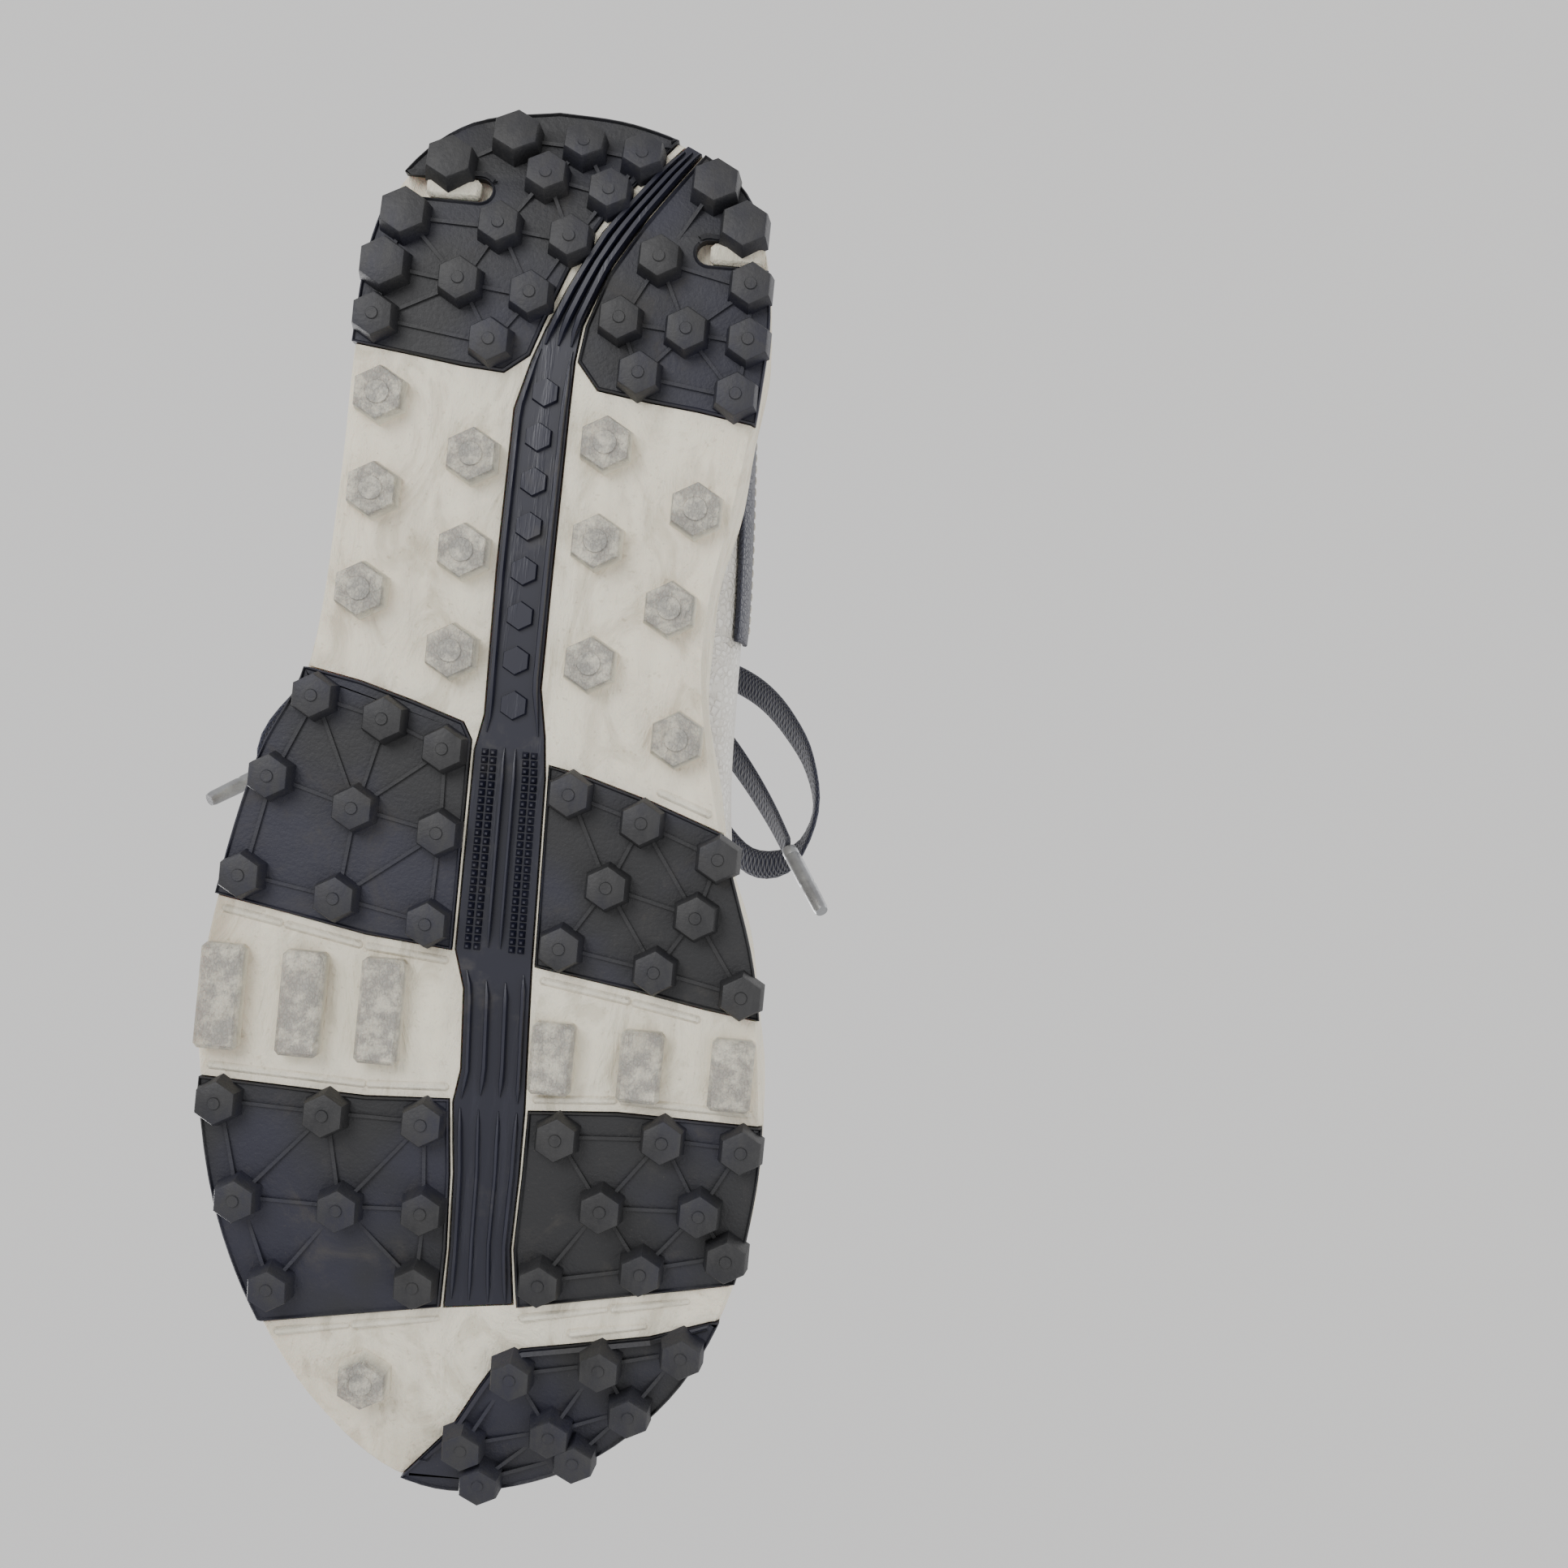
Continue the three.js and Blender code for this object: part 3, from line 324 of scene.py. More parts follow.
@dataclass(frozen=True)
class Moulded:
    """Hard moulded plastic of the spine: satin, with fine scratches along its length."""

    name: str = "moulded_spine"
    dark: Colour = (0.0065, 0.0072, 0.017)
    pale: Colour = (0.018, 0.019, 0.032)

    def build(self) -> bpy.types.Material:
        """Builds the material."""
        g = Graph(self.name)
        scratches = g.noise(260, 5, 0.7, g.place((1.0, 0.08, 1.0), (0, 0, 0.15))).ease(0.5, 0.7)
        dust = g.noise(85, 6, 0.7).ease(0.55, 0.8)
        colour = g.mix(scratches * 0.5 + g.worn() * 0.4, self.dark, self.pale)
        colour = g.mix(dust * 0.4, colour, (0.075, 0.068, 0.056))
        relief = g.bump(scratches, 0.00012, 0.5)
        return g.surface(Base_Color=colour, Roughness=0.36 + 0.3 * dust, Normal=relief)


@dataclass(frozen=True)
class Leather:
    """Coated leather: pebbled grain, flex creases and soil that gathers low on the shoe."""

    name: str
    colour: Colour
    deep: Colour
    grain: float = 620.0
    gloss: float = 0.42

    def build(self) -> bpy.types.Material:
        """Builds the material.

        Returns:
            The material.
        """
        g = Graph(self.name)
        pebble = g.cells(self.grain).ease(0.0, 0.22)
        fine = g.noise(2600, 3, 0.6)
        crease = g.noise(52, 4, 0.55, g.place((0.35, 1.6, 1.0)), 1.4).ease(0.56, 0.70)
        cloud = g.noise(17, 3, 0.5)
        low = Signal(g, g.node("ShaderNodeSeparateXYZ", None, {0: g.place()}).outputs[2])
        soil = (1.0 - low.ease(0.028, 0.05)) * g.noise(60, 5, 0.6).ease(0.42, 0.66) * 0.5
        tint = (crease * 0.26 + (1.0 - pebble) * 0.22 + cloud * 0.12 + soil).smallest(1.0)
        relief = g.bump(pebble, 0.00035, 0.75)
        relief = g.bump(fine, 0.00006, 0.6, relief)
        relief = g.bump(1.0 - crease, 0.0005, 0.45, relief)
        return g.surface(
            Base_Color=g.mix(tint, self.colour, self.deep),
            Roughness=self.gloss + 0.16 * (1.0 - pebble) + 0.12 * cloud,
            Normal=relief,
            Coat_Weight=0.12,
            Coat_Roughness=0.35,
        )


class Weave(Enum):
    """Ways of the cloths, which differ in the lean of their ribs."""

    KNIT = "knit"
    TWILL = "twill"


@dataclass(frozen=True)
class Cloth:
    """Woven or knitted cloth, in two crossed sets of threads."""

    name: str
    colour: Colour
    deep: Colour
    weave: Weave = Weave.KNIT
    pitch: float = 0.0011

    def build(self) -> bpy.types.Material:
        """Builds the material.

        Returns:
            The material.
        """
        g = Graph(self.name)
        lean = 0.0 if self.weave is Weave.KNIT else 0.6
        count = 1.0 / self.pitch / 6.2832 * 3.1416
        warp = g.bands(count, g.place((1, 1, 0.35), (0.2, 0.35, 0.78 + lean)), 0.5)
        weft = g.bands(count, g.place((1, 1, 1.0), (0.5, 1.2, -0.78 + lean)), 0.5)
        thread = warp.largest(weft)
        fuzz = g.noise(3200, 3, 0.7)
        cloud = g.noise(38, 4, 0.5)
        colour = g.mix((thread * 0.65 + cloud * 0.25 + fuzz * 0.15).smallest(1.0), self.deep, self.colour)
        relief = g.bump(thread, 0.00045, 0.7)
        relief = g.bump(fuzz, 0.00012, 0.6, relief)
        return g.surface(Base_Color=colour, Roughness=0.82 + 0.12 * fuzz, Normal=relief, Sheen_Weight=0.35)


@dataclass(frozen=True)
class Braid:
    """Flat braid of a lace, which follows the lace's own length and width."""

    name: str = "lace"
    colour: Colour = (0.012, 0.015, 0.042)
    deep: Colour = (0.003, 0.0035, 0.011)

    def build(self) -> bpy.types.Material:
        """Builds the material.

        Returns:
            The material.
        """
        g = Graph(self.name)
        left = g.bands(1.0, g.cloth_place((300, 4.2, 1), 0.72), 0.25)
        right = g.bands(1.0, g.cloth_place((300, 4.2, 1), -0.72), 0.25)
        strands = left.largest(right)
        fuzz = g.noise(3600, 3, 0.7)
        colour = g.mix((strands * 0.75 + fuzz * 0.3).smallest(1.0), self.deep, self.colour)
        relief = g.bump(strands, 0.0004, 0.8)
        relief = g.bump(fuzz, 0.0001, 0.6, relief)
        return g.surface(Base_Color=colour, Roughness=0.80 + 0.15 * fuzz, Normal=relief, Sheen_Weight=0.3)


@dataclass(frozen=True)
class Plain:
    """Small hard or threaded parts: one colour, clouded, with a fine grain."""

    name: str
    colour: Colour
    deep: Colour
    rough: float
    metal: float = 0.0
    grain: float = 1500.0
    depth: float = 0.0001

    def build(self) -> bpy.types.Material:
        """Builds the material."""
        g = Graph(self.name)
        cloud = g.noise(130, 5, 0.65)
        grain = g.noise(self.grain, 3, 0.6)
        return g.surface(
            Base_Color=g.mix(cloud.ease(0.35, 0.7), self.colour, self.deep),
            Roughness=self.rough + 0.18 * grain,
            Metallic=self.metal,
            Normal=g.bump(grain, self.depth, 0.5),
        )


@dataclass(frozen=True)
class StageFinish:
    """Pale studio floor, seen from its upper side only."""

    name: str
    colour: Colour

    def build(self) -> bpy.types.Material:
        """Builds the material."""
        g = Graph(self.name)
        matt = g.node("ShaderNodeBsdfDiffuse", None, {"Color": (*self.colour, 1.0)})
        clear = g.node("ShaderNodeBsdfTransparent")
        back = g.node("ShaderNodeNewGeometry").outputs["Backfacing"]
        both = g.node("ShaderNodeMixShader", None, {0: back, 1: matt.outputs[0], 2: clear.outputs[0]})
        g.node("ShaderNodeOutputMaterial", None, {"Surface": both.outputs[0]})
        return g.material


class Finishes:
    """Every finish of the shoe, built once."""

    def __init__(self) -> None:
        """Builds the materials."""
        self.foam = Foam().build()
        self.rubber = Rubber().build()
        self.spine = Moulded().build()
        self.white = Leather("white_leather", (0.77, 0.755, 0.715), (0.42, 0.385, 0.32)).build()
        navy, ink = (0.0095, 0.012, 0.031), (0.028, 0.029, 0.044)
        self.navy = Leather("navy_leather", navy, ink, 760.0, 0.38).build()
        self.lining = Cloth("navy_cloth", (0.018, 0.022, 0.056), (0.004, 0.005, 0.015)).build()
        slate, deep = (0.028, 0.033, 0.072), (0.009, 0.010, 0.026)
        self.sock = Cloth("sock_cloth", slate, deep, Weave.TWILL, 0.0008).build()
        self.board = Plain("board", (0.66, 0.60, 0.48), (0.50, 0.44, 0.34), 0.85, depth=0.0003).build()
        self.lace = Braid().build()
        self.eyelet = Plain("eyelet", (0.030, 0.034, 0.060), (0.06, 0.06, 0.08), 0.26, 0.75).build()
        self.aglet = Plain("aglet", (0.33, 0.34, 0.35), (0.22, 0.22, 0.23), 0.30, 0.85).build()
        chalk, grey = (0.70, 0.675, 0.60), (0.48, 0.45, 0.38)
        self.thread = Plain("thread_white", chalk, grey, 0.75, grain=4000.0).build()


# --- mesh helpers
def new_bmesh() -> bmesh.types.BMesh:
    """An empty bmesh with the shoe's two layers: wear on points and a cloth map on corners."""
    bm = bmesh.new()
    bm.verts.layers.float.new("wear")
    bm.loops.layers.uv.new("Cloth")
    return bm


def shade(bm: bmesh.types.BMesh, sharp: float = CRISP) -> None:
    """Smooths the shading, except over edges that fold by more than an angle in degrees."""
    for face in bm.faces:
        face.smooth = True
    for edge in bm.edges:
        if len(edge.link_faces) == 2 and edge.calc_face_angle(0.0) > math.radians(sharp):
            edge.smooth = False


def linked(bm: bmesh.types.BMesh, name: str, material: bpy.types.Material) -> bpy.types.Object:
    """Turns a bmesh, which is freed, into an object of the scene."""
    mesh = bpy.data.meshes.new(name)
    bm.to_mesh(mesh)
    bm.free()
    made = bpy.data.objects.new(name, mesh)
    bpy.context.scene.collection.objects.link(made)
    mesh.materials.append(material)
    return made


def finished(
    bm: bmesh.types.BMesh, name: str, material: bpy.types.Material, sharp: float = CRISP
) -> bpy.types.Object:
    """Closes a bmesh drawn in pattern millimetres into a placed object.

    Args:
        bm: the mesh, which is freed.
        name: the object's name.
        material: its finish.
        sharp: the angle in degrees past which an edge stays crisp.

    Returns:
        The linked object, at the origin.
    """
    for vert in bm.verts:
        vert.co = (vert.co + SHIFT) * MM
    shade(bm, sharp)
    return linked(bm, name, material)


def tie(piece: bpy.types.Object, node: str | None, body: str | None = "rear") -> bpy.types.Object:
    """Ties a finished piece to the rest of the shoe.

    Args:
        piece: the piece.
        node: the node that it takes the place of, if there is one.
        body: the body that it rides on, or none for a piece that bends.

    Returns:
        The piece.
    """
    if node:
        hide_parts(node)
    if body:
        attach(piece, body)
    LOG.info("%s", piece.name)
    return piece


def add_grid(
    bm: bmesh.types.BMesh,
    along: int,
    across: int,
    point: Callable[[float, float], Vector],
    map_size: Pair = (1.0, 1.0),
) -> list[bmesh.types.BMVert]:
    """Adds a grid and lays it over a surface.

    Args:
        bm: the mesh it is added to.
        along: faces along the first direction.
        across: faces along the second.
        point: the surface, from two shares of 0 to 1 to a pattern point.
        map_size: the cloth map's size along and across.

    Returns:
        The grid's points.
    """
    layer = bm.loops.layers.uv["Cloth"]
    made = bmesh.ops.create_grid(bm, x_segments=along, y_segments=across, size=1.0)["verts"]
    share = {vert: ((vert.co.x + 1) / 2, (vert.co.y + 1) / 2) for vert in made}
    for face in {face for vert in made for face in vert.link_faces}:
        for loop in face.loops:
            u, v = share[loop.vert]
            loop[layer].uv = (u * map_size[0], v * map_size[1])
    for vert in made:
        vert.co = point(*share[vert])
    return made


def close_up(bm: bmesh.types.BMesh, distance: float = 0.004, fill: bool = False) -> None:
    """Merges doubles, fills open rings if asked to, and turns the faces outwards."""
    bmesh.ops.remove_doubles(bm, verts=bm.verts, dist=distance)
    bmesh.ops.dissolve_degenerate(bm, dist=distance / 2, edges=bm.edges)
    if fill:
        bmesh.ops.holes_fill(bm, edges=[edge for edge in bm.edges if edge.is_boundary], sides=0)
    bmesh.ops.recalc_face_normals(bm, faces=bm.faces)


def thicken(made: bpy.types.Object, thickness: float, offset: float = -1.0, round_edge: float = 0.0) -> None:
    """Gives a sheet its wall, in millimetres, and rounds its rim.

    Args:
        made: the sheet.
        thickness: the wall in millimetres.
        offset: -1 for a wall that grows inwards.
        round_edge: width of its rounded rim.
    """
    wall = made.modifiers.new("Wall", "SOLIDIFY")
    wall.thickness = thickness * MM
    wall.offset = offset
    wall.use_even_offset = False
    if round_edge:
        rim = made.modifiers.new("Rim", "BEVEL")
        rim.width = round_edge * MM
        rim.segments = 2
        rim.limit_method = "ANGLE"
        rim.angle_limit = math.radians(50)


def settle(made: bpy.types.Object) -> bpy.types.Object:
    """Applies an object's modifiers to its mesh."""
    graph = bpy.context.evaluated_depsgraph_get()
    mesh = bpy.data.meshes.new_from_object(made.evaluated_get(graph), depsgraph=graph)
    made.modifiers.clear()
    old = made.data
    made.data = mesh
    mesh.name = made.name
    bpy.data.meshes.remove(old)
    return made


class Cut(Enum):
    """What a cutter does to a solid."""

    KEEP = "INTERSECT"
    REMOVE = "DIFFERENCE"


def carve(solid: bpy.types.Object, cutter: bpy.types.Object, cut: Cut) -> None:
    """Cuts a solid with another, which is used up."""
    step = solid.modifiers.new("Cut", "BOOLEAN")
    step.operation = cut.value
    step.solver = "MANIFOLD"
    step.object = cutter
    settle(solid)
    bpy.data.objects.remove(cutter)


def reopen(made: bpy.types.Object) -> bmesh.types.BMesh:
    """Takes an object's mesh back into pattern millimetres, and removes the object.

    Args:
        made: the object.

    Returns:
        The mesh.
    """
    bm = bmesh.new()
    bm.from_mesh(made.data)
    bpy.data.objects.remove(made)
    if "wear" not in bm.verts.layers.float:
        bm.verts.layers.float.new("wear")
    if "Cloth" not in bm.loops.layers.uv:
        bm.loops.layers.uv.new("Cloth")
    for vert in bm.verts:
        vert.co = vert.co / MM - SHIFT
    return bm


def ease(value: float, low: float, high: float) -> float:
    """Share of the way from low to high, kept from 0 to 1."""
    return min(1.0, max(0.0, (value - low) / (high - low)))


def smooth(value: float, low: float, high: float) -> float:
    """Smooth share of the way from low to high."""
    share = ease(value, low, high)
    return share * share * (3 - 2 * share)


def halve(low: float, high: float, steps: int, before: Callable[[float], bool]) -> Pair:
    """Closes in on the place at which a test turns false, and returns what is left on both sides."""
    for _ in range(steps):
        middle = (low + high) / 2
        if before(middle):
            low = middle
        else:
            high = middle
    return low, high


def boxy(value: float, power: float) -> float:
    """A sine or cosine raised to a power with its sign kept, which squares or narrows an oval."""
    return math.copysign(abs(value) ** power, value)


def edges_of(outline: Sequence[Pair]) -> list[tuple[Pair, Pair]]:
    """The edges of a closed outline."""
    return list(zip(outline, [*outline[1:], outline[0]]))


def winding(outline: Sequence[Pair]) -> int:
    """1 for an outline that runs counter-clockwise, and -1 for one that runs clockwise."""
    return 1 if sum(a[0] * b[1] - b[0] * a[1] for a, b in edges_of(outline)) > 0 else -1


def spline(points: Sequence[Sequence[float]], share: float) -> tuple[float, ...]:
    """Point of a smooth curve through points, at a share of 0 to 1.

    Args:
        points: points that it goes through.
        share: a share of 0 to 1.

    Returns:
        The point.
    """
    place = share * (len(points) - 1)
    index = min(int(place), len(points) - 2)
    t = place - index
    p1, p2 = points[index], points[index + 1]
    p0 = points[max(index - 1, 0)]
    p3 = points[min(index + 2, len(points) - 1)]
    result = []
    for a, b, c, d in zip(p0, p1, p2, p3):
        v0, v1 = (c - a) / 2, (d - b) / 2
        result.append((2 * b - 2 * c + v0 + v1) * t**3 + (-3 * b + 3 * c - 2 * v0 - v1) * t * t + v0 * t + b)
    return tuple(result)


def smooth_outline(points: Sequence[Pair], steps: int) -> list[Pair]:
    """Smooth closed outline through a few points."""
    ring = [*points, points[0]]
    return [spline(ring, i / steps)[:2] for i in range(steps)]


def offset_outline(points: Sequence[Pair], distance: float) -> list[Pair]:
    """Outline moved outwards, or inwards when the distance is negative.

    Args:
        points: the outline.
        distance: how far it moves.

    Returns:
        The new outline.
    """
    turn = winding(points)
    moved = []
    for i, point in enumerate(points):
        before, after = Vector(points[i - 1]), Vector(points[(i + 1) % len(points)])
        u = (Vector(point) - before).normalized()
        v = (after - Vector(point)).normalized()
        normal = Vector((u.y + v.y, -u.x - v.x)).normalized()
        stretch = max(0.5, abs(normal.x * v.y - normal.y * v.x))
        shifted = Vector(point) + normal * (turn * distance / stretch)
        moved.append((shifted.x, shifted.y))
    return moved


def resample(points: Sequence[Vector], step: float) -> list[Vector]:
    """Points at even steps along a polyline.

    Args:
        points: the polyline.
        step: length of a step.

    Returns:
        The new points.
    """
    lengths = [(b - a).length for a, b in zip(points, points[1:])]
    total = sum(lengths)
    count = max(2, round(total / step))
    made, index, walked = [], 0, 0.0
    for i in range(count + 1):
        target = total * i / count
        while index < len(lengths) - 1 and walked + lengths[index] < target:
            walked += lengths[index]
            index += 1
        share = (target - walked) / max(lengths[index], 1e-9)
        made.append(points[index].lerp(points[index + 1], min(1.0, share)))
    return made


def smooth_path(points: Sequence[Sequence[float]], steps: int) -> list[Vector]:
    """Centripetal curve through points of a route, as the lace lies.

    Args:
        points: the route.
        steps: number of steps.

    Returns:
        Points of the curve.
    """
    nodes = [Vector(p) for p in points]
    ends = [nodes[0] * 2 - nodes[1], *nodes, nodes[-1] * 2 - nodes[-2]]
    result = []
    for i in range(steps + 1):
        place = i / steps * (len(nodes) - 1)
        index = min(int(place), len(nodes) - 2)
        t = place - index
        p0, p1, p2, p3 = ends[index : index + 4]
        d0, d1, d2 = (max((b - a).length, 1e-4) ** 0.5 for a, b in ((p0, p1), (p1, p2), (p2, p3)))
        m1 = ((p1 - p0) / d0 - (p2 - p0) / (d0 + d1) + (p2 - p1) / d1) * d1
        m2 = ((p2 - p1) / d1 - (p3 - p1) / (d1 + d2) + (p3 - p2) / d2) * d1
        result.append(
            (2 * p1 - 2 * p2 + m1 + m2) * t**3 + (-3 * p1 + 3 * p2 - 2 * m1 - m2) * t * t + m1 * t + p1
        )
    return result


# --- lines of the shoe
HEEL_END, TOE_END = 147.0, -150.0
LUG, PLATE, RIM = 4.5, 3.2, 5.0
HEEL_SEAT, BALL_SEAT = 31.0, 23.0


def ground(y: float) -> float:
    """Height of the cleat tips: flat, with the toe spring and the bevel of the heel."""
    return 15 * ease(y, -70, TOE_END) ** 1.8 + 9 * ease(y, 105, HEEL_END) ** 2


def seat(y: float) -> float:
    """Height of the foot's seat."""
    return HEEL_SEAT + (BALL_SEAT - HEEL_SEAT) * smooth(y, 70, -40) + 0.75 * ground(min(y, 0.0))


def plate_face(y: float) -> float:
    """Lower face of the pod plates."""
    return ground(y) + LUG


SOLE = smooth_outline(
    [
        (4, 147), (22, 143), (34, 131), (39.5, 115), (41.5, 92), (42, 62), (44.5, 26), (53, 4), (59, -25),
        (61, -48), (58, -70), (52.5, -93), (43, -115), (30, -134), (13, -148), (-6, -150), (-28, -141),
        (-45, -124), (-55, -103), (-59, -80), (-59, -60), (-54.5, -31), (-46, -5), (-39, 25), (-38.5, 45),
        (-42, 68), (-44.5, 90), (-44.5, 110), (-39, 130), (-27, 141), (-12, 146),
    ],
    186,
)
# Cross-sections of the last: length station, inner and outer extent, widest line and crown above the seat.
SECTIONS = [
    (141, -3, -3, 24, 24), (139.8, -16, 11, 23, 62), (134, -26, 21, 21, 82), (122, -33.5, 29.5, 20, 93),
    (100, -37, 33.5, 19, 98), (75, -39, 35, 19, 100), (50, -40.5, 37, 18.5, 98), (30, -41, 40, 17.5, 84),
    (5, -42, 45.5, 16, 71), (-20, -45.5, 50.5, 15, 60.5), (-45, -50, 53.5, 14, 51),
    (-70, -52, 50.5, 13.5, 43),
    (-95, -49, 45, 13, 37), (-115, -43, 37.5, 12.5, 31.5), (-130, -32.5, 26, 12, 26),
    (-140, -18, 11, 11.5, 19),
    (-144.3, -4, -4, 11, 11),
]
HALF_LENGTH, MIDDLE = (141 + 144.3) / 2, (141 - 144.3) / 2
LINING_OUT, UPPER_IN, UPPER_OUT, OVER_IN, OVER_OUT = 1.0, 1.3, 3.3, 3.6, 4.8
TONGUE_TOP = -(3.2 - 0.8 + 1.2 + 0.6 + 0.6) / 0.72
THROAT_X = -1.0
EYELET_ROWS = 5


class Last:
    """The foot space that every layer of the upper is measured from."""

    @staticmethod
    @lru_cache(maxsize=200000)
    def section(t: float) -> tuple[float, ...]:
        """Cross-section at a share of the length, from the heel to the toe."""
        return spline(SECTIONS, min(1.0, max(0.0, t)))

    @classmethod
    def point(cls, t: float, phi: float, offset: float, pinch: bool = False) -> Vector:
        """Point of a layer.

        Args:
            t: share of the length, from the heel to the toe.
            phi: angle round the section; 0 is the outer side and a quarter turn the crown.
            offset: distance out from the last.
            pinch: draws the section together on its middle plane, to close an end.

        Returns:
            The pattern point.
        """
        y, inner, outer, widest, crown = cls.section(t)
        half = 0.0 if pinch else (outer - inner) / 2 + offset
        level = seat(y)
        upper = math.sin(phi) >= 0
        power = 2 / (2.5 if upper else 3.4)
        c, s = math.cos(phi), math.sin(phi)
        x = (inner + outer) / 2 + half * boxy(c, power)
        reach = crown - widest + offset if upper else widest + offset
        rise = reach * boxy(s, power)
        length = MIDDLE + (y - MIDDLE) * (HALF_LENGTH + offset) / HALF_LENGTH
        return Vector((x, length, level + widest + rise))

    @classmethod
    @lru_cache(maxsize=100000)
    def station(cls, y: float, offset: float) -> float:
        """Share of the length at which a layer reaches a length position."""
        target = MIDDLE + (y - MIDDLE) * HALF_LENGTH / (HALF_LENGTH + offset)
        return sum(halve(0.0, 1.0, 30, lambda t: cls.section(t)[0] > target)) / 2

    @classmethod
    def angle_at_height(cls, t: float, z: float, offset: float) -> float:
        """Angle on the outer side at which the section reaches a height."""
        crown = math.pi / 2
        if cls.point(t, crown, offset).z <= z:
            return crown
        return sum(halve(-crown, crown, 24, lambda phi: cls.point(t, phi, offset).z < z)) / 2

    @classmethod
    def over(cls, x: float, y: float, offset: float) -> Vector:
        """Point of a layer above a plan position."""
        t = cls.station(y, offset)
        phi = sum(halve(0.0, math.pi, 28, lambda angle: cls.point(t, angle, offset).x > x)) / 2
        return cls.point(t, phi, offset)

    @classmethod
    def normal_over(cls, x: float, y: float) -> Vector:
        """Outward direction above a plan position."""
        across = cls.over(x + 1, y, 0) - cls.over(x - 1, y, 0)
        along = cls.over(x, y + 1, 0) - cls.over(x, y - 1, 0)
        return across.cross(along).normalized()

    @classmethod
    def normal(cls, t: float, phi: float, offset: float) -> Vector:
        """Outward direction at a point of a layer."""
        step = 0.004
        along = cls.point(t - step, phi, offset) - cls.point(t + step, phi, offset)
        round_it = cls.point(t, phi + step, offset) - cls.point(t, phi - step, offset)
        out = round_it.cross(along)
        centre = cls.point(t, phi, offset) - cls.point(t, phi, -6)
        return (out if out.dot(centre) > 0 else -out).normalized()


def throat_half(y: float) -> float:
    """Half the throat's width, with its round front end."""
    if y < -22.5:
        return math.sqrt(max(0.0, 6.5**2 - (y + 22.5) ** 2)) if y > -29 else 0.0
    return 6.5 + 6.5 * ease(y, -29, 45)


TOPLINE = [(43, 78), (52, 68), (66, 58), (84, 52), (104, 54), (122, 62), (135, 69), (150, 72)]


@lru_cache(maxsize=50000)
def topline(y: float) -> float:
    """Height of the collar's top line."""
    if y < 43:
        return HEEL_SEAT + 78 + 3.5 * (43 - y)
    share = sum(halve(0.0, 1.0, 24, lambda place: spline(TOPLINE, place)[0] < y)) / 2
    return HEEL_SEAT + spline(TOPLINE, share)[1]


def seam_at(z: float) -> float:
    """Length position of the seam between vamp and quarters at a height."""
    return -8 - 17 * (z - BALL_SEAT) / (85 - BALL_SEAT)


def upper_edge(t: float, offset: float, raise_by: float = 0.0, side: int = 1) -> float:
    """Angle at which a panel of the upper ends: the top line, or the throat's edge.

    Args:
        t: share of the length.
        offset: the layer.
        raise_by: how far above the top line it ends.
        side: 1 on the outer side and -1 on the inner.

    Returns:
        The angle, counted from that side.
    """
    y = Last.point(t, 0, offset).y
    edge = math.pi / 2 if y < 30 else Last.angle_at_height(t, topline(y) + raise_by, offset)
    half = throat_half(y)
    if y < 60 and half > 0:

        def outside(angle: float) -> bool:
            """Whether an angle lies outside the throat."""
            return side * (Last.point(t, side_angle(angle, side), offset).x - THROAT_X) > half

        edge = min(edge, halve(0.0, math.pi / 2, 22, outside)[0])
    return edge


def side_angle(angle: float, side: int) -> float:
    """An angle counted from the outer or the inner side, as an angle of the section."""
    return angle if side > 0 else math.pi - angle


# --- threads
# How far in height a stitch may lie from its line before it is left out.
STITCH_MISS = 0.4


@dataclass
class Stitching:
    """A run of single stitches, gathered in one mesh."""

    name: str
    material: bpy.types.Material
    pitch: float = 3.0
    length: float = 2.3
    radius: float = 0.32
    rows: list[tuple[list[Vector], list[Vector]]] = field(default_factory=list)

    def row(self, points: Sequence[Vector], normals: Sequence[Vector]) -> None:
        """Adds a row along a line of the surface."""
        self.rows.append((list(points), list(normals)))

    def build(self) -> bpy.types.Object:
        """Builds the stitches.

        Returns:
            The piece.
        """
        bm = new_bmesh()
        for points, normals in self.rows:
            path = resample(points, self.pitch)
            for i in range(len(path) - 1):
                a, b = path[i], path[i + 1]
                nearest = min(range(len(points)), key=lambda k: (points[k] - a).length_squared)
                out = normals[nearest]
                axis = (b - a).normalized()
                side = axis.cross(out).normalized()
                up = side.cross(axis)
                turn = Matrix((axis, side, up)).transposed().to_4x4()
                size = Matrix.Diagonal((self.length / 2, self.radius, self.radius, 1))
                spot = Matrix.Translation((a + b) / 2 + out * self.radius * 0.25)
                bmesh.ops.create_icosphere(bm, subdivisions=1, radius=1.0, matrix=spot @ turn @ size)
        return finished(bm, self.name, self.material, 80)


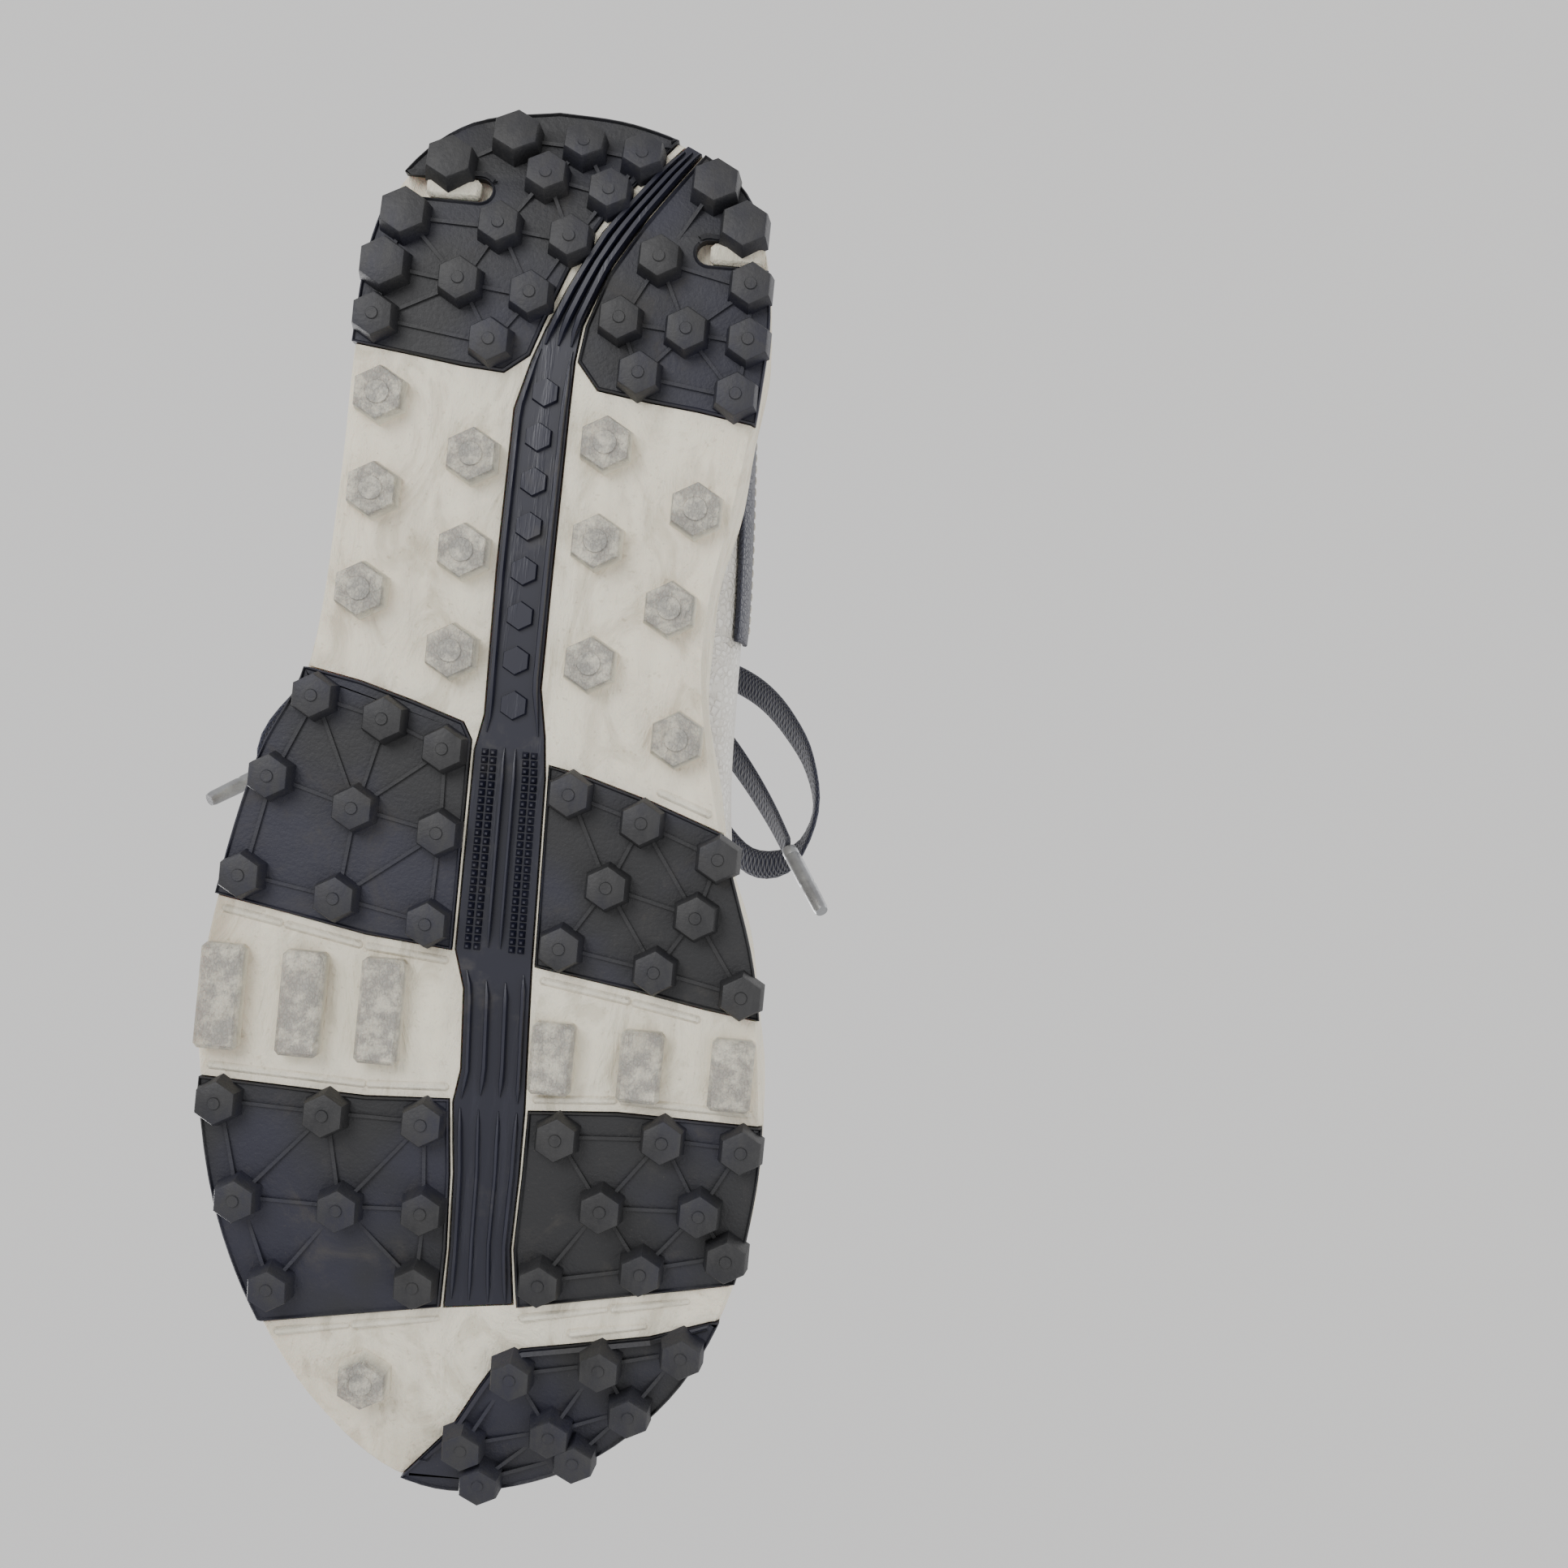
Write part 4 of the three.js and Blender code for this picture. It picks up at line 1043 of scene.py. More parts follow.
# --- the sole
POD_OUTLINES: dict[str, list[Pair]] = {
    "heel_pod_lateral": [
        (-28, 160), (-28, 152.5), (-20.5, 141.5), (-8.5, 124.5), (-2, 112), (2.5, 99.5), (4.5, 93.5),
        (9.5, 89.5),
        (18, 90), (30, 91.5), (80, 97), (80, 160),
    ],
    "heel_pod_medial": [
        (-34.5, 160), (-34.5, 151), (-26.5, 138.5), (-16.5, 122.5), (-10.5, 111.5), (-7, 100.5), (-6, 93),
        (-10.5, 87.5), (-21.5, 86), (-32, 85), (-80, 78), (-80, 160),
    ],
    "ball_pod_lateral": [
        (80, 31), (44, 24), (33, 22), (22, 19), (11, 15.5), (9, 12), (9, -32), (27, -30.5), (44, -27.5),
        (59, -25),
        (80, -21),
    ],
    "ball_pod_medial": [
        (-8, 8), (-16, 6.5), (-30, 2.5), (-46, -3), (-80, -14), (-80, -43), (-57, -41), (-45, -39.5),
        (-30, -37),
        (-9, -34),
    ],
    "fore_pod_lateral": [
        (80, -63), (59, -63.5), (24, -64.5), (6.5, -63.5), (5, -79), (4.5, -95), (5, -108), (24, -111.5),
        (42.5, -115), (80, -121),
    ],
    "fore_pod_medial": [
        (-10.5, -64.5), (-29, -63), (-80, -63.5), (-80, -92), (-59, -96.5), (-47.5, -99), (-30.5, -102.5),
        (-11.5, -106.5), (-10, -94), (-10.5, -78),
    ],
    "toe_pod": [
        (-80, -101), (-52.5, -106), (-40, -110.5), (-23, -114), (-13, -116), (-8, -119.5), (-4.5, -125.5),
        (1, -136),
        (12.5, -150), (16, -165), (-80, -165),
    ],
}
SPINE_OUTLINE: list[Pair] = [
    (-31, 152), (-19.5, 137), (-8.5, 121), (-2.5, 108.5), (1.5, 99), (3.8, 92.5), (6.5, 82), (7, 48),
    (6.6, 17.6),
    (8, 10), (8, -32), (5.5, -40), (4.5, -57), (5.5, -64), (4, -79), (3.6, -95), (4, -108), (-10.4, -106),
    (-9.1, -94), (-9.6, -78), (-9.5, -64.5), (-8.9, -52), (-8.1, -34), (-7.2, 5), (-6.3, 14), (-4.5, 24),
    (-4.6, 49),
    (-4.9, 83), (-5.1, 93), (-6, 100.5), (-10.8, 113.5), (-17.5, 125.5), (-27, 140.5), (-34, 150.5),
]
LUGS: dict[str, list[tuple[float, ...]]] = {
    "heel_pod_lateral": [
        (12, 140, 6.2), (25, 132.5, 6.2), (33, 120, 6.2), (36, 109, 6.2), (37, 98), (-2.5, 139.5), (-15, 138),
        (4.5, 131.5), (-9, 129), (13, 119.5), (-2, 118), (20, 107), (5, 105.5), (12.5, 95),
    ],
    "heel_pod_medial": [
        (-31, 133, 6.2), (-38, 124, 6.2), (-21, 115.5), (-40.5, 111.5), (-14, 102), (-28, 101), (-41, 100),
        (-19, 91), (-39.5, 88.5),
    ],
    "ball_pod_lateral": [
        (42, 18), (27, 14.5), (14, 9.5), (49.5, 0.5), (31.5, -4.5), (13.5, -8), (53.5, -20.5), (33.5, -23.5),
        (14, -27),
    ],
    "ball_pod_medial": [
        (-13, 2.5), (-28.5, -2), (-45, -8), (-22.5, -16), (-41.5, -20.5), (-14, -29.5), (-34, -32.5),
        (-52.5, -36),
    ],
    "fore_pod_lateral": [
        (54, -68), (31.5, -68.5), (11, -68.5), (48.5, -88), (27, -88), (9.5, -87), (40.5, -106.5), (10, -103),
    ],
    "fore_pod_medial": [
        (-17, -69), (-39, -67.5), (-55.5, -68), (-27.5, -83), (-48, -82), (-16, -100), (-37, -95.5),
        (-54.5, -91),
    ],
    "toe_pod": [
        (-11.5, -121.5), (-30, -117.5), (-47, -113), (-2, -139), (-20.5, -134), (-37, -127.5), (-6, -147),
        (-26, -139.5),
    ],
}
FOAM_LUGS: list[Pair] = [
    (34.5, 82), (14, 71), (34, 62), (14, 51), (34.5, 41), (14.5, 30), (-13.5, 76), (-33.5, 64), (-13.5, 55.5),
    (-30, 43), (-14.5, 30), (-34, 16), (20, -126),
]
FLEX_START = placed(0, -38, 24)
FLEX_END = placed(0, -63, 24)
UPPER_FLEX_START = placed(0, -22, 24)
UPPER_FLEX_END = placed(0, -66, 24)
FORE_PODS = ("fore_pod_lateral", "fore_pod_medial", "toe_pod")


def flexing(made: bpy.types.Object, upper: bool = False) -> None:
    """Lets a piece bend at the ball of the foot, over a longer stretch where it is part of the upper."""
    start, end = (UPPER_FLEX_START, UPPER_FLEX_END) if upper else (FLEX_START, FLEX_END)
    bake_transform(made, "rear", "forefoot", start=start, end=end)


def encloses(outline: Sequence[Pair], spot: Vector) -> bool:
    """Whether a plan outline goes round a spot."""
    inside = False
    for a, b in edges_of(outline):
        if (a[1] > spot.y) != (b[1] > spot.y):
            inside ^= spot.x < a[0] + (b[0] - a[0]) * (spot.y - a[1]) / (b[1] - a[1])
    return inside


def crosses(a: Pair, b: Pair, c: Pair, d: Pair) -> bool:
    """Whether two plan lines cross between their ends."""

    def turn(p: Pair, q: Pair, r: Pair) -> float:
        """Sense in which three points turn."""
        return (q[0] - p[0]) * (r[1] - p[1]) - (q[1] - p[1]) * (r[0] - p[0])

    shared = a in (c, d) or b in (c, d)
    return not shared and turn(a, b, c) * turn(a, b, d) < 0 and turn(c, d, a) * turn(c, d, b) < 0


def slice_across(bm: bmesh.types.BMesh, spot: Sequence[float], distance: float = 1e-4) -> None:
    """Adds edges across the shoe's length at a spot."""
    everything = [*bm.verts, *bm.edges, *bm.faces]
    bmesh.ops.bisect_plane(bm, geom=everything, dist=distance, plane_co=spot, plane_no=(0, 1, 0))


def slab_mesh(
    outline: Sequence[Pair], low: Callable[[float], float], high: Callable[[float], float]
) -> bmesh.types.BMesh:
    """Solid over a plan outline, between two height lines.

    Args:
        outline: the plan outline.
        low: height of its lower face at a length position.
        high: height of its upper face.

    Returns:
        The mesh, in pattern millimetres.
    """
    bm = new_bmesh()
    base = [bm.verts.new((x, y, 0.0)) for x, y in outline]
    face = bm.faces.new(base)
    raised = bmesh.ops.extrude_face_region(bm, geom=[face])["geom"]
    bmesh.ops.translate(bm, verts=[g for g in raised if isinstance(g, bmesh.types.BMVert)], vec=(0, 0, 1))
    lows, highs = min(y for _, y in outline), max(y for _, y in outline)
    y = math.ceil(max(lows, -152) / STRIP) * STRIP
    while y < min(highs, 150):
        slice_across(bm, (0, y, 0))
        y += STRIP
    for vert in bm.verts:
        y = vert.co.y
        vert.co.z = high(y) if vert.co.z > 0.5 else low(y)
    bmesh.ops.recalc_face_normals(bm, faces=bm.faces)
    return bm


def tall_mesh(outline: Sequence[Pair]) -> bmesh.types.BMesh:
    """Solid over a plan outline that reaches past the sole above and below."""
    return slab_mesh(outline, lambda y: -20.0, lambda y: 60.0)


def cone(
    bm: bmesh.types.BMesh, sides: int, tip: float, root: float, depth: float, matrix: Matrix
) -> list[bmesh.types.BMVert]:
    """Adds a blunt cone that points down, and returns its points."""
    return bmesh.ops.create_cone(
        bm, cap_ends=True, cap_tris=False, segments=sides, radius1=tip, radius2=root, depth=depth,
        matrix=matrix,
    )["verts"]


def soften(
    bm: bmesh.types.BMesh, edges: Sequence[bmesh.types.BMEdge], width: float, segments: int
) -> list[bmesh.types.BMVert]:
    """Bevels edges, and returns the new points."""
    return bmesh.ops.bevel(
        bm, geom=edges, offset=width, offset_type="OFFSET", segments=segments, profile=0.5, affect="EDGES",
        material=-1,
    )["verts"]


def turned(profile: Sequence[Pair], steps: int, foot: Vector, axis: Vector) -> bmesh.types.BMesh:
    """Spins a profile of radii and heights into a part that stands on a foot, along an axis.

    Args:
        profile: radii and heights.
        steps: faces round it.
        foot: where it stands.
        axis: its direction.

    Returns:
        The mesh.
    """
    bm = new_bmesh()
    closed = profile[0] == profile[-1]
    verts = [bm.verts.new((r, 0, z)) for r, z in (profile[:-1] if closed else profile)]
    nexts = [*verts[1:], verts[0]] if closed else verts[1:]
    edges = [bm.edges.new(pair) for pair in zip(verts, nexts)]
    bmesh.ops.spin(
        bm, geom=[*verts, *edges], cent=(0, 0, 0), axis=(0, 0, 1), angle=2 * math.pi, steps=steps,
        use_merge=True,
    )
    close_up(bm, 0.002)
    turn = Vector((0, 0, 1)).rotation_difference(axis).to_matrix().to_4x4()
    bmesh.ops.transform(bm, matrix=Matrix.Translation(foot) @ turn, verts=bm.verts)
    return bm


def block(
    bm: bmesh.types.BMesh, centre: Vector, size: Sequence[float], turn: float, bevel: float, wear: float = 0.0
) -> None:
    """Adds a box with soft edges, turned about the vertical."""
    matrix = Matrix.Translation(centre) @ Matrix.Rotation(turn, 4, "Z") @ Matrix.Diagonal((*size, 1))
    verts = bmesh.ops.create_cube(bm, size=1.0, matrix=matrix)["verts"]
    layer = bm.verts.layers.float["wear"]
    middle = centre.z
    for vert in verts:
        vert[layer] = wear if vert.co.z < middle else 0.0
    if bevel:
        soften(bm, list({edge for vert in verts for edge in vert.link_edges}), bevel, 1)


@dataclass(frozen=True)
class Cleat:
    """Sizes of a hexagonal cleat: tip radius, height, widening to the root, and tip mark's radius or 0."""

    radius: float
    height: float
    flare: float
    dimple: float


def hex_cleat(bm: bmesh.types.BMesh, x: float, y: float, cleat: Cleat) -> None:
    """Adds a hexagonal cleat that points down at a plan position.

    Args:
        bm: the mesh.
        x: position across.
        y: length position.
        cleat: its sizes.
    """
    layer = bm.verts.layers.float["wear"]
    tip = ground(y) + (LUG - cleat.height)
    top = plate_face(y) + 0.7
    slope = math.atan2(ground(y + 3) - ground(y - 3), 6.0)
    turn = Matrix.Rotation(slope, 4, "X")
    centre = Vector((x, y, (tip + top) / 2))
    matrix = Matrix.Translation(centre) @ turn
    verts = cone(bm, 6, cleat.radius, cleat.radius + cleat.flare, top - tip, matrix)
    low = [vert for vert in verts if (turn.inverted() @ (vert.co - centre)).z < 0]
    face = next(face for face in low[0].link_faces if all(vert in low for vert in face.verts))
    worn = soften(bm, list(face.edges), 0.55, 2)
    if cleat.dimple:
        disc = Matrix.Translation((x, y, tip - 0.02)) @ turn
        worn += cone(bm, 14, cleat.dimple - 0.3, cleat.dimple, 0.7, disc)
    for vert in worn:
        vert[layer] = 1.0


NOTCHES = {"heel_pod_lateral": (18.5, 127.5, 1), "heel_pod_medial": (-31.0, 118.5, -1)}


@dataclass
class Pods:
    """The rubber pods: plates with a raised rim, cleats, and the fine web that joins them."""

    finishes: Finishes
    rim: float = 1.5
    web: float = 0.75
    web_height: float = 0.55
    reach: float = 27.0
    notch: float = 2.7

    def plate(self, name: str) -> bmesh.types.BMesh:
        """Builds one plate, cut to the sole's edge.

        Args:
            name: the pod.

        Returns:
            The plate.
        """
        rubber = self.finishes.rubber
        plate = slab_mesh(POD_OUTLINES[name], plate_face, lambda y: plate_face(y) + PLATE)
        solid = finished(plate, name + "_plate", rubber)
        carve(solid, finished(tall_mesh(offset_outline(SOLE, 0.25)), "edge", rubber), Cut.KEEP)
        notch = NOTCHES.get(name)
        if notch:
            x, y, side = notch
            outline = [(side * 90.0, y + self.notch)]
            for i in range(11):
                a = math.pi / 2 + math.pi * i / 10
                outline.append((x + side * self.notch * math.cos(a), y + self.notch * math.sin(a)))
            outline.append((side * 90.0, y - self.notch))
            carve(solid, finished(tall_mesh(outline), "notch", rubber), Cut.REMOVE)
        bm = reopen(solid)
        bmesh.ops.remove_doubles(bm, verts=bm.verts, dist=0.5)
        bmesh.ops.dissolve_limit(
            bm, angle_limit=math.radians(1), verts=bm.verts, edges=bm.edges, use_dissolve_boundaries=False
        )
        for width, depth in ((0.35, 0.3), (self.rim, 0.0), (0.35, -0.55)):
            under = [face for face in bm.faces if face.normal.z < -0.8]
            bmesh.ops.inset_region(bm, faces=under, thickness=width, depth=depth, use_boundary=True)
        return bm

    def web_lines(self, name: str, lugs: Sequence[tuple[float, ...]]) -> list[tuple[Pair, Pair]]:
        """Lines that join neighbouring cleats in triangles, clear of the notch and of each other.

        Args:
            name: the pod.
            lugs: the cleats.

        Returns:
            The lines, by their ends.
        """
        spots = [(lug[0], lug[1]) for lug in lugs]
        pairs = [(a, b) for i, a in enumerate(spots) for b in spots[i + 1 :] if math.dist(a, b) < self.reach]
        x, y, side = NOTCHES.get(name, (0.0, 999.0, 1))
        kept: list[tuple[Pair, Pair]] = []
        for a, b in sorted(pairs, key=lambda pair: math.dist(*pair)):
            middle = ((a[0] + b[0]) / 2, (a[1] + b[1]) / 2)
            near = any(math.dist(middle, c) < math.dist(a, b) * 0.45 for c in spots if c not in (a, b))
            over_notch = (a[1] - y) * (b[1] - y) < 0 and max(side * a[0], side * b[0]) > side * x
            if not near and not over_notch and not any(crosses(a, b, c, d) for c, d in kept):
                kept.append((a, b))
        return kept

    def build(self) -> None:
        """Builds every pod."""
        for name, lugs in LUGS.items():
            bm = self.plate(name)
            for lug in lugs:
                big = len(lug) > 2
                radius, dimple = (0.84 * lug[2], 0.0) if big else (4.6, 1.5)
                hex_cleat(bm, lug[0], lug[1], Cleat(radius, LUG, 0.9, dimple))
            for a, b in self.web_lines(name, lugs):
                middle = ((a[0] + b[0]) / 2, (a[1] + b[1]) / 2)
                centre = Vector((*middle, plate_face(middle[1]) + 0.5 - self.web_height / 2))
                turn = math.atan2(b[1] - a[1], b[0] - a[0])
                block(bm, centre, (math.dist(a, b), self.web, self.web_height + 0.5), turn, 0.0, 0.4)
            piece = finished(bm, name + "_moulded", self.finishes.rubber)
            tie(piece, name, "forefoot" if name in FORE_PODS else "rear")


# Ribs of the spine: their shares of its width, and for each run its ends, width and height.
SPINE_RIBS = (
    ((0.16, 0.5, 0.84), ((96, 141, 1.9, 2.0),)),
    ((0.1, 0.9), ((14, 95, 1.3, 1.5), (-63, -36, 1.1, 1.2), (-106, -65, 1.2, 1.3))),
    ((0.36, 0.64), ((-106, -65, 1.0, 0.9), (-62, -38, 1.2, 1.4))),
    ((0.42, 0.58), ((-31, 11, 0.9, 1.6),)),
)


@dataclass
class Spine:
    """The moulded spine: ribs at the heel, a railed channel under the arch, knurled strips at the ball."""

    finishes: Finishes

    @staticmethod
    def edges(y: float) -> Pair:
        """Left and right edge of the spine at a length position."""
        hits = []
        for a, b in edges_of(SPINE_OUTLINE):
            if (a[1] - y) * (b[1] - y) <= 0 and a[1] != b[1]:
                hits.append(a[0] + (b[0] - a[0]) * (y - a[1]) / (b[1] - a[1]))
        return (min(hits), max(hits)) if hits else (0.0, 0.0)

    def bar(
        self, bm: bmesh.types.BMesh, start: float, end: float, share: float, width: float, height: float
    ) -> None:
        """Adds a rib that keeps its share of the spine's width.

        Args:
            bm: the mesh.
            start: length position of its front end.
            end: length position of its back end.
            share: its share of the spine's width.
            width: its width.
            height: how far it stands out.
        """
        profile = [(-0.5, 0.8), (-0.42, -0.6), (-0.25, -1.0), (0.25, -1.0), (0.42, -0.6), (0.5, 0.8)]

        def point(u: float, v: float) -> Vector:
            """Point of the rib's skin."""
            y = start + (end - start) * u
            left, right = self.edges(y)
            x = left + (right - left) * share
            a, b = profile[round(v * 5)]
            taper = min(1.0, 0.25 + 8 * u, 0.25 + 8 * (1 - u))
            drop = height * b * taper if b < 0 else b
            return Vector((x + a * width * taper, y, plate_face(y) + 0.5 + drop))

        verts = add_grid(bm, max(4, int(abs(end - start) / 3)), 5, point)
        layer = bm.verts.layers.float["wear"]
        for vert in verts:
            vert[layer] = 0.7 if vert.co.z < plate_face(vert.co.y) else 0.1

    def build(self) -> None:
        """Builds the spine."""
        outline = offset_outline(SPINE_OUTLINE, -0.15)
        bm = slab_mesh(outline, lambda y: plate_face(y) + 0.5, lambda y: plate_face(y) + PLATE)
        solid = finished(bm, "spine", self.finishes.spine)
        carve(solid, finished(tall_mesh(SOLE), "edge", self.finishes.spine), Cut.KEEP)
        bm = reopen(solid)
        for shares, runs in SPINE_RIBS:
            for share in shares:
                for run in runs:
                    self.bar(bm, *run[:2], share, *run[2:])
        layer = bm.verts.layers.float["wear"]
        for share in (0.15, 1 - 0.15, 0.27, 1 - 0.27):
            for i in range(25):
                y = -31 + i * 1.7
                left, right = self.edges(y)
                spot = (left + (right - left) * share, y, plate_face(y) - 0.1)
                matrix = Matrix.Translation(spot) @ Matrix.Rotation(math.pi / 4, 4, "Z")
                for vert in cone(bm, 4, 0.35, 1.05, 1.3, matrix):
                    vert[layer] = 0.6 if vert.co.z < plate_face(y) - 0.3 else 0.0
        for i in range(8):
            y = 20 + i * 9.4
            middle = Matrix.Translation((sum(self.edges(y)) / 2, y, plate_face(y) + 0.1))
            for vert in cone(bm, 6, 2.9, 3.3, 1.4, middle):
                vert[layer] = 0.5 if vert.co.z < plate_face(y) else 0.0
        flexing(tie(finished(bm, "spine_moulded", self.finishes.spine), "shank_spine", None))


@dataclass
class Midsole:
    """The foam midsole: sculpted walls, a cup for the upper, foam cleats and the flex ribs.

    The wall is given as shares of its height, and how far it stands out at each.
    """

    finishes: Finishes
    recess: float = 0.7
    lip_gap: float = 2.6
    wall: tuple[Pair, ...] = (
        (0.0, -0.7), (0.05, -0.1), (0.12, 0.25), (0.26, 0.45), (0.33, 0.1), (0.36, -0.45), (0.39, 0.1),
        (0.5, 0.5),
        (0.72, 0.35), (0.90, 0.0), (0.96, -0.35), (1.0, -1.0),
    )

    def body(self) -> bpy.types.Object:
        """Builds the foam block with its pockets and its cup.

        Returns:
            The solid.
        """
        bm = new_bmesh()
        count = len(SOLE)
        normals = []
        for i in range(count):
            step = Vector(SOLE[(i + 1) % count]) - Vector(SOLE[i - 1])
            normals.append(Vector((step.y, -step.x)).normalized())
        turn = winding(SOLE)

        def point(u: float, v: float) -> Vector:
            """Point of the wall."""
            i = round(u * count) % count
            share, bulge = self.wall[round(v * (len(self.wall) - 1))]
            x, y = SOLE[i]
            low, high = plate_face(y) + self.recess, seat(y) + RIM
            wave = 0.35 * math.sin(y * 0.21) * smooth(share, 0.3, 0.6)
            out = normals[i] * turn * (bulge + wave)
            return Vector((x + out.x, y + out.y, low + (high - low) * share))

        add_grid(bm, count, len(self.wall) - 1, point)
        close_up(bm, 0.004, fill=True)
        for strip in range(-24, 24):
            slice_across(bm, (0, strip * STRIP, 0))
        bmesh.ops.recalc_face_normals(bm, faces=bm.faces)
        solid = finished(bm, "foam", self.finishes.foam)
        for name, outline in [*POD_OUTLINES.items(), ("spine", SPINE_OUTLINE)]:
            room = offset_outline(outline, CLEAR)
            pocket = slab_mesh(room, lambda y: plate_face(y) - 30, lambda y: plate_face(y) + PLATE + CLEAR)
            carve(solid, finished(pocket, "pocket_" + name, self.finishes.foam), Cut.REMOVE)
        cup = new_bmesh()

        def inside(u: float, v: float) -> Vector:
            """Point of the cup."""
            pinch = u in (0.0, 1.0)
            return Last.point(min(0.9995, max(0.0005, u)), 2 * math.pi * v, UPPER_OUT + CLEAR, pinch)

        add_grid(cup, 90, 64, inside)
        close_up(cup, 0.004)
        carve(solid, finished(cup, "cup", self.finishes.foam), Cut.REMOVE)
        return solid

    @staticmethod
    def is_foam(place: Vector) -> bool:
        """Whether a plan point and its surroundings lie on bare foam."""
        for turn in range(8):
            spot = place + Vector((math.cos(turn * math.pi / 4), math.sin(turn * math.pi / 4))) * 1.5
            covered = any(encloses(outline, spot) for outline in (*POD_OUTLINES.values(), SPINE_OUTLINE))
            if covered or not encloses(SOLE, spot):
                return False
        return True

    def build(self) -> None:
        """Builds the foam and what is cast on it."""
        bm = reopen(self.body())
        for x, y in FOAM_LUGS:
            hex_cleat(bm, x, y, Cleat(5.6, LUG - 0.6, 0.7, 2.7))
        for x, y, side in ((24.0, 127.5, 1), (-37.0, 118.5, -1)):
            block(bm, Vector((x, y, plate_face(y) + 1.2)), (11.5, 4.4, 3.0), 0.0, 0.9, 0.2)
        ribs = (((22, 38.5, 55.5), -57, -35), ((-14.5, -33, -52), -60, -45))
        for across, front, back in ribs:
            for x in across:
                y = (front + back) / 2
                block(bm, Vector((x, y, ground(y) + 0.5 + 2.6)), (9.0, back - front, 5.0), 0.0, 0.9, 1.0)
        for outline in POD_OUTLINES.values():
            total = Vector((sum(x for x, _ in outline), sum(y for _, y in outline)))
            middle = total / len(outline)
            for a, b in edges_of(outline):
                start, step = Vector(a), Vector(b) - Vector(a)
                if abs(step.x) < 15 or abs(step.y) > 0.7 * abs(step.x):
                    continue
                out = Vector((-step.y, step.x)).normalized()
                out = out if out.dot(start - middle) > 0 else -out
                gap = out * self.lip_gap
                shares = [i / 60 for i in range(61) if self.is_foam(start + step * (i / 60) + gap)]
                if len(shares) < 20:
                    continue
                lip = start + step * ((shares[0] + shares[-1]) / 2) + gap
                length = step.length * (shares[-1] - shares[0])
                place = Vector((lip.x, lip.y, plate_face(lip.y) + 1.3))
                block(bm, place, (length, 1.8, 2.4), math.atan2(step.y, step.x), 0.6, 0.1)
        flexing(tie(finished(bm, "midsole_foam", self.finishes.foam), "midsole", None))


# --- the upper
def height_panel(
    bm: bmesh.types.BMesh,
    side: int,
    front: Callable[[float], float],
    low: Callable[[float], float],
    high: Callable[[float], float],
    offset: float,
    faces: tuple[int, int] = (70, 30),
) -> None:
    """Adds one side of a panel that runs from the back of the heel to a front edge.

    Args:
        bm: the mesh.
        side: 1 on the outer side and -1 on the inner.
        front: length position of the front edge at a height.
        low: angle of the lower edge at a station, counted from that side.
        high: angle of the upper edge at a station.
        offset: the layer of its outer face.
        faces: faces along and across.
    """

    def point(u: float, v: float) -> Vector:
        """Point of the panel."""
        middle = Last.station(-15.0, offset)
        rough = low(middle) + (high(middle) - low(middle)) * v
        y_front = front(Last.point(middle, side_angle(rough, side), offset).z)
        t_front = Last.station(round(y_front, 2), offset)
        t = 0.0004 + (t_front - 0.0004) * u**1.6
        a, b = low(t), high(t)
        return Last.point(t, side_angle(a + (b - a) * v, side), offset, pinch=u == 0.0)

    add_grid(bm, *faces, point)


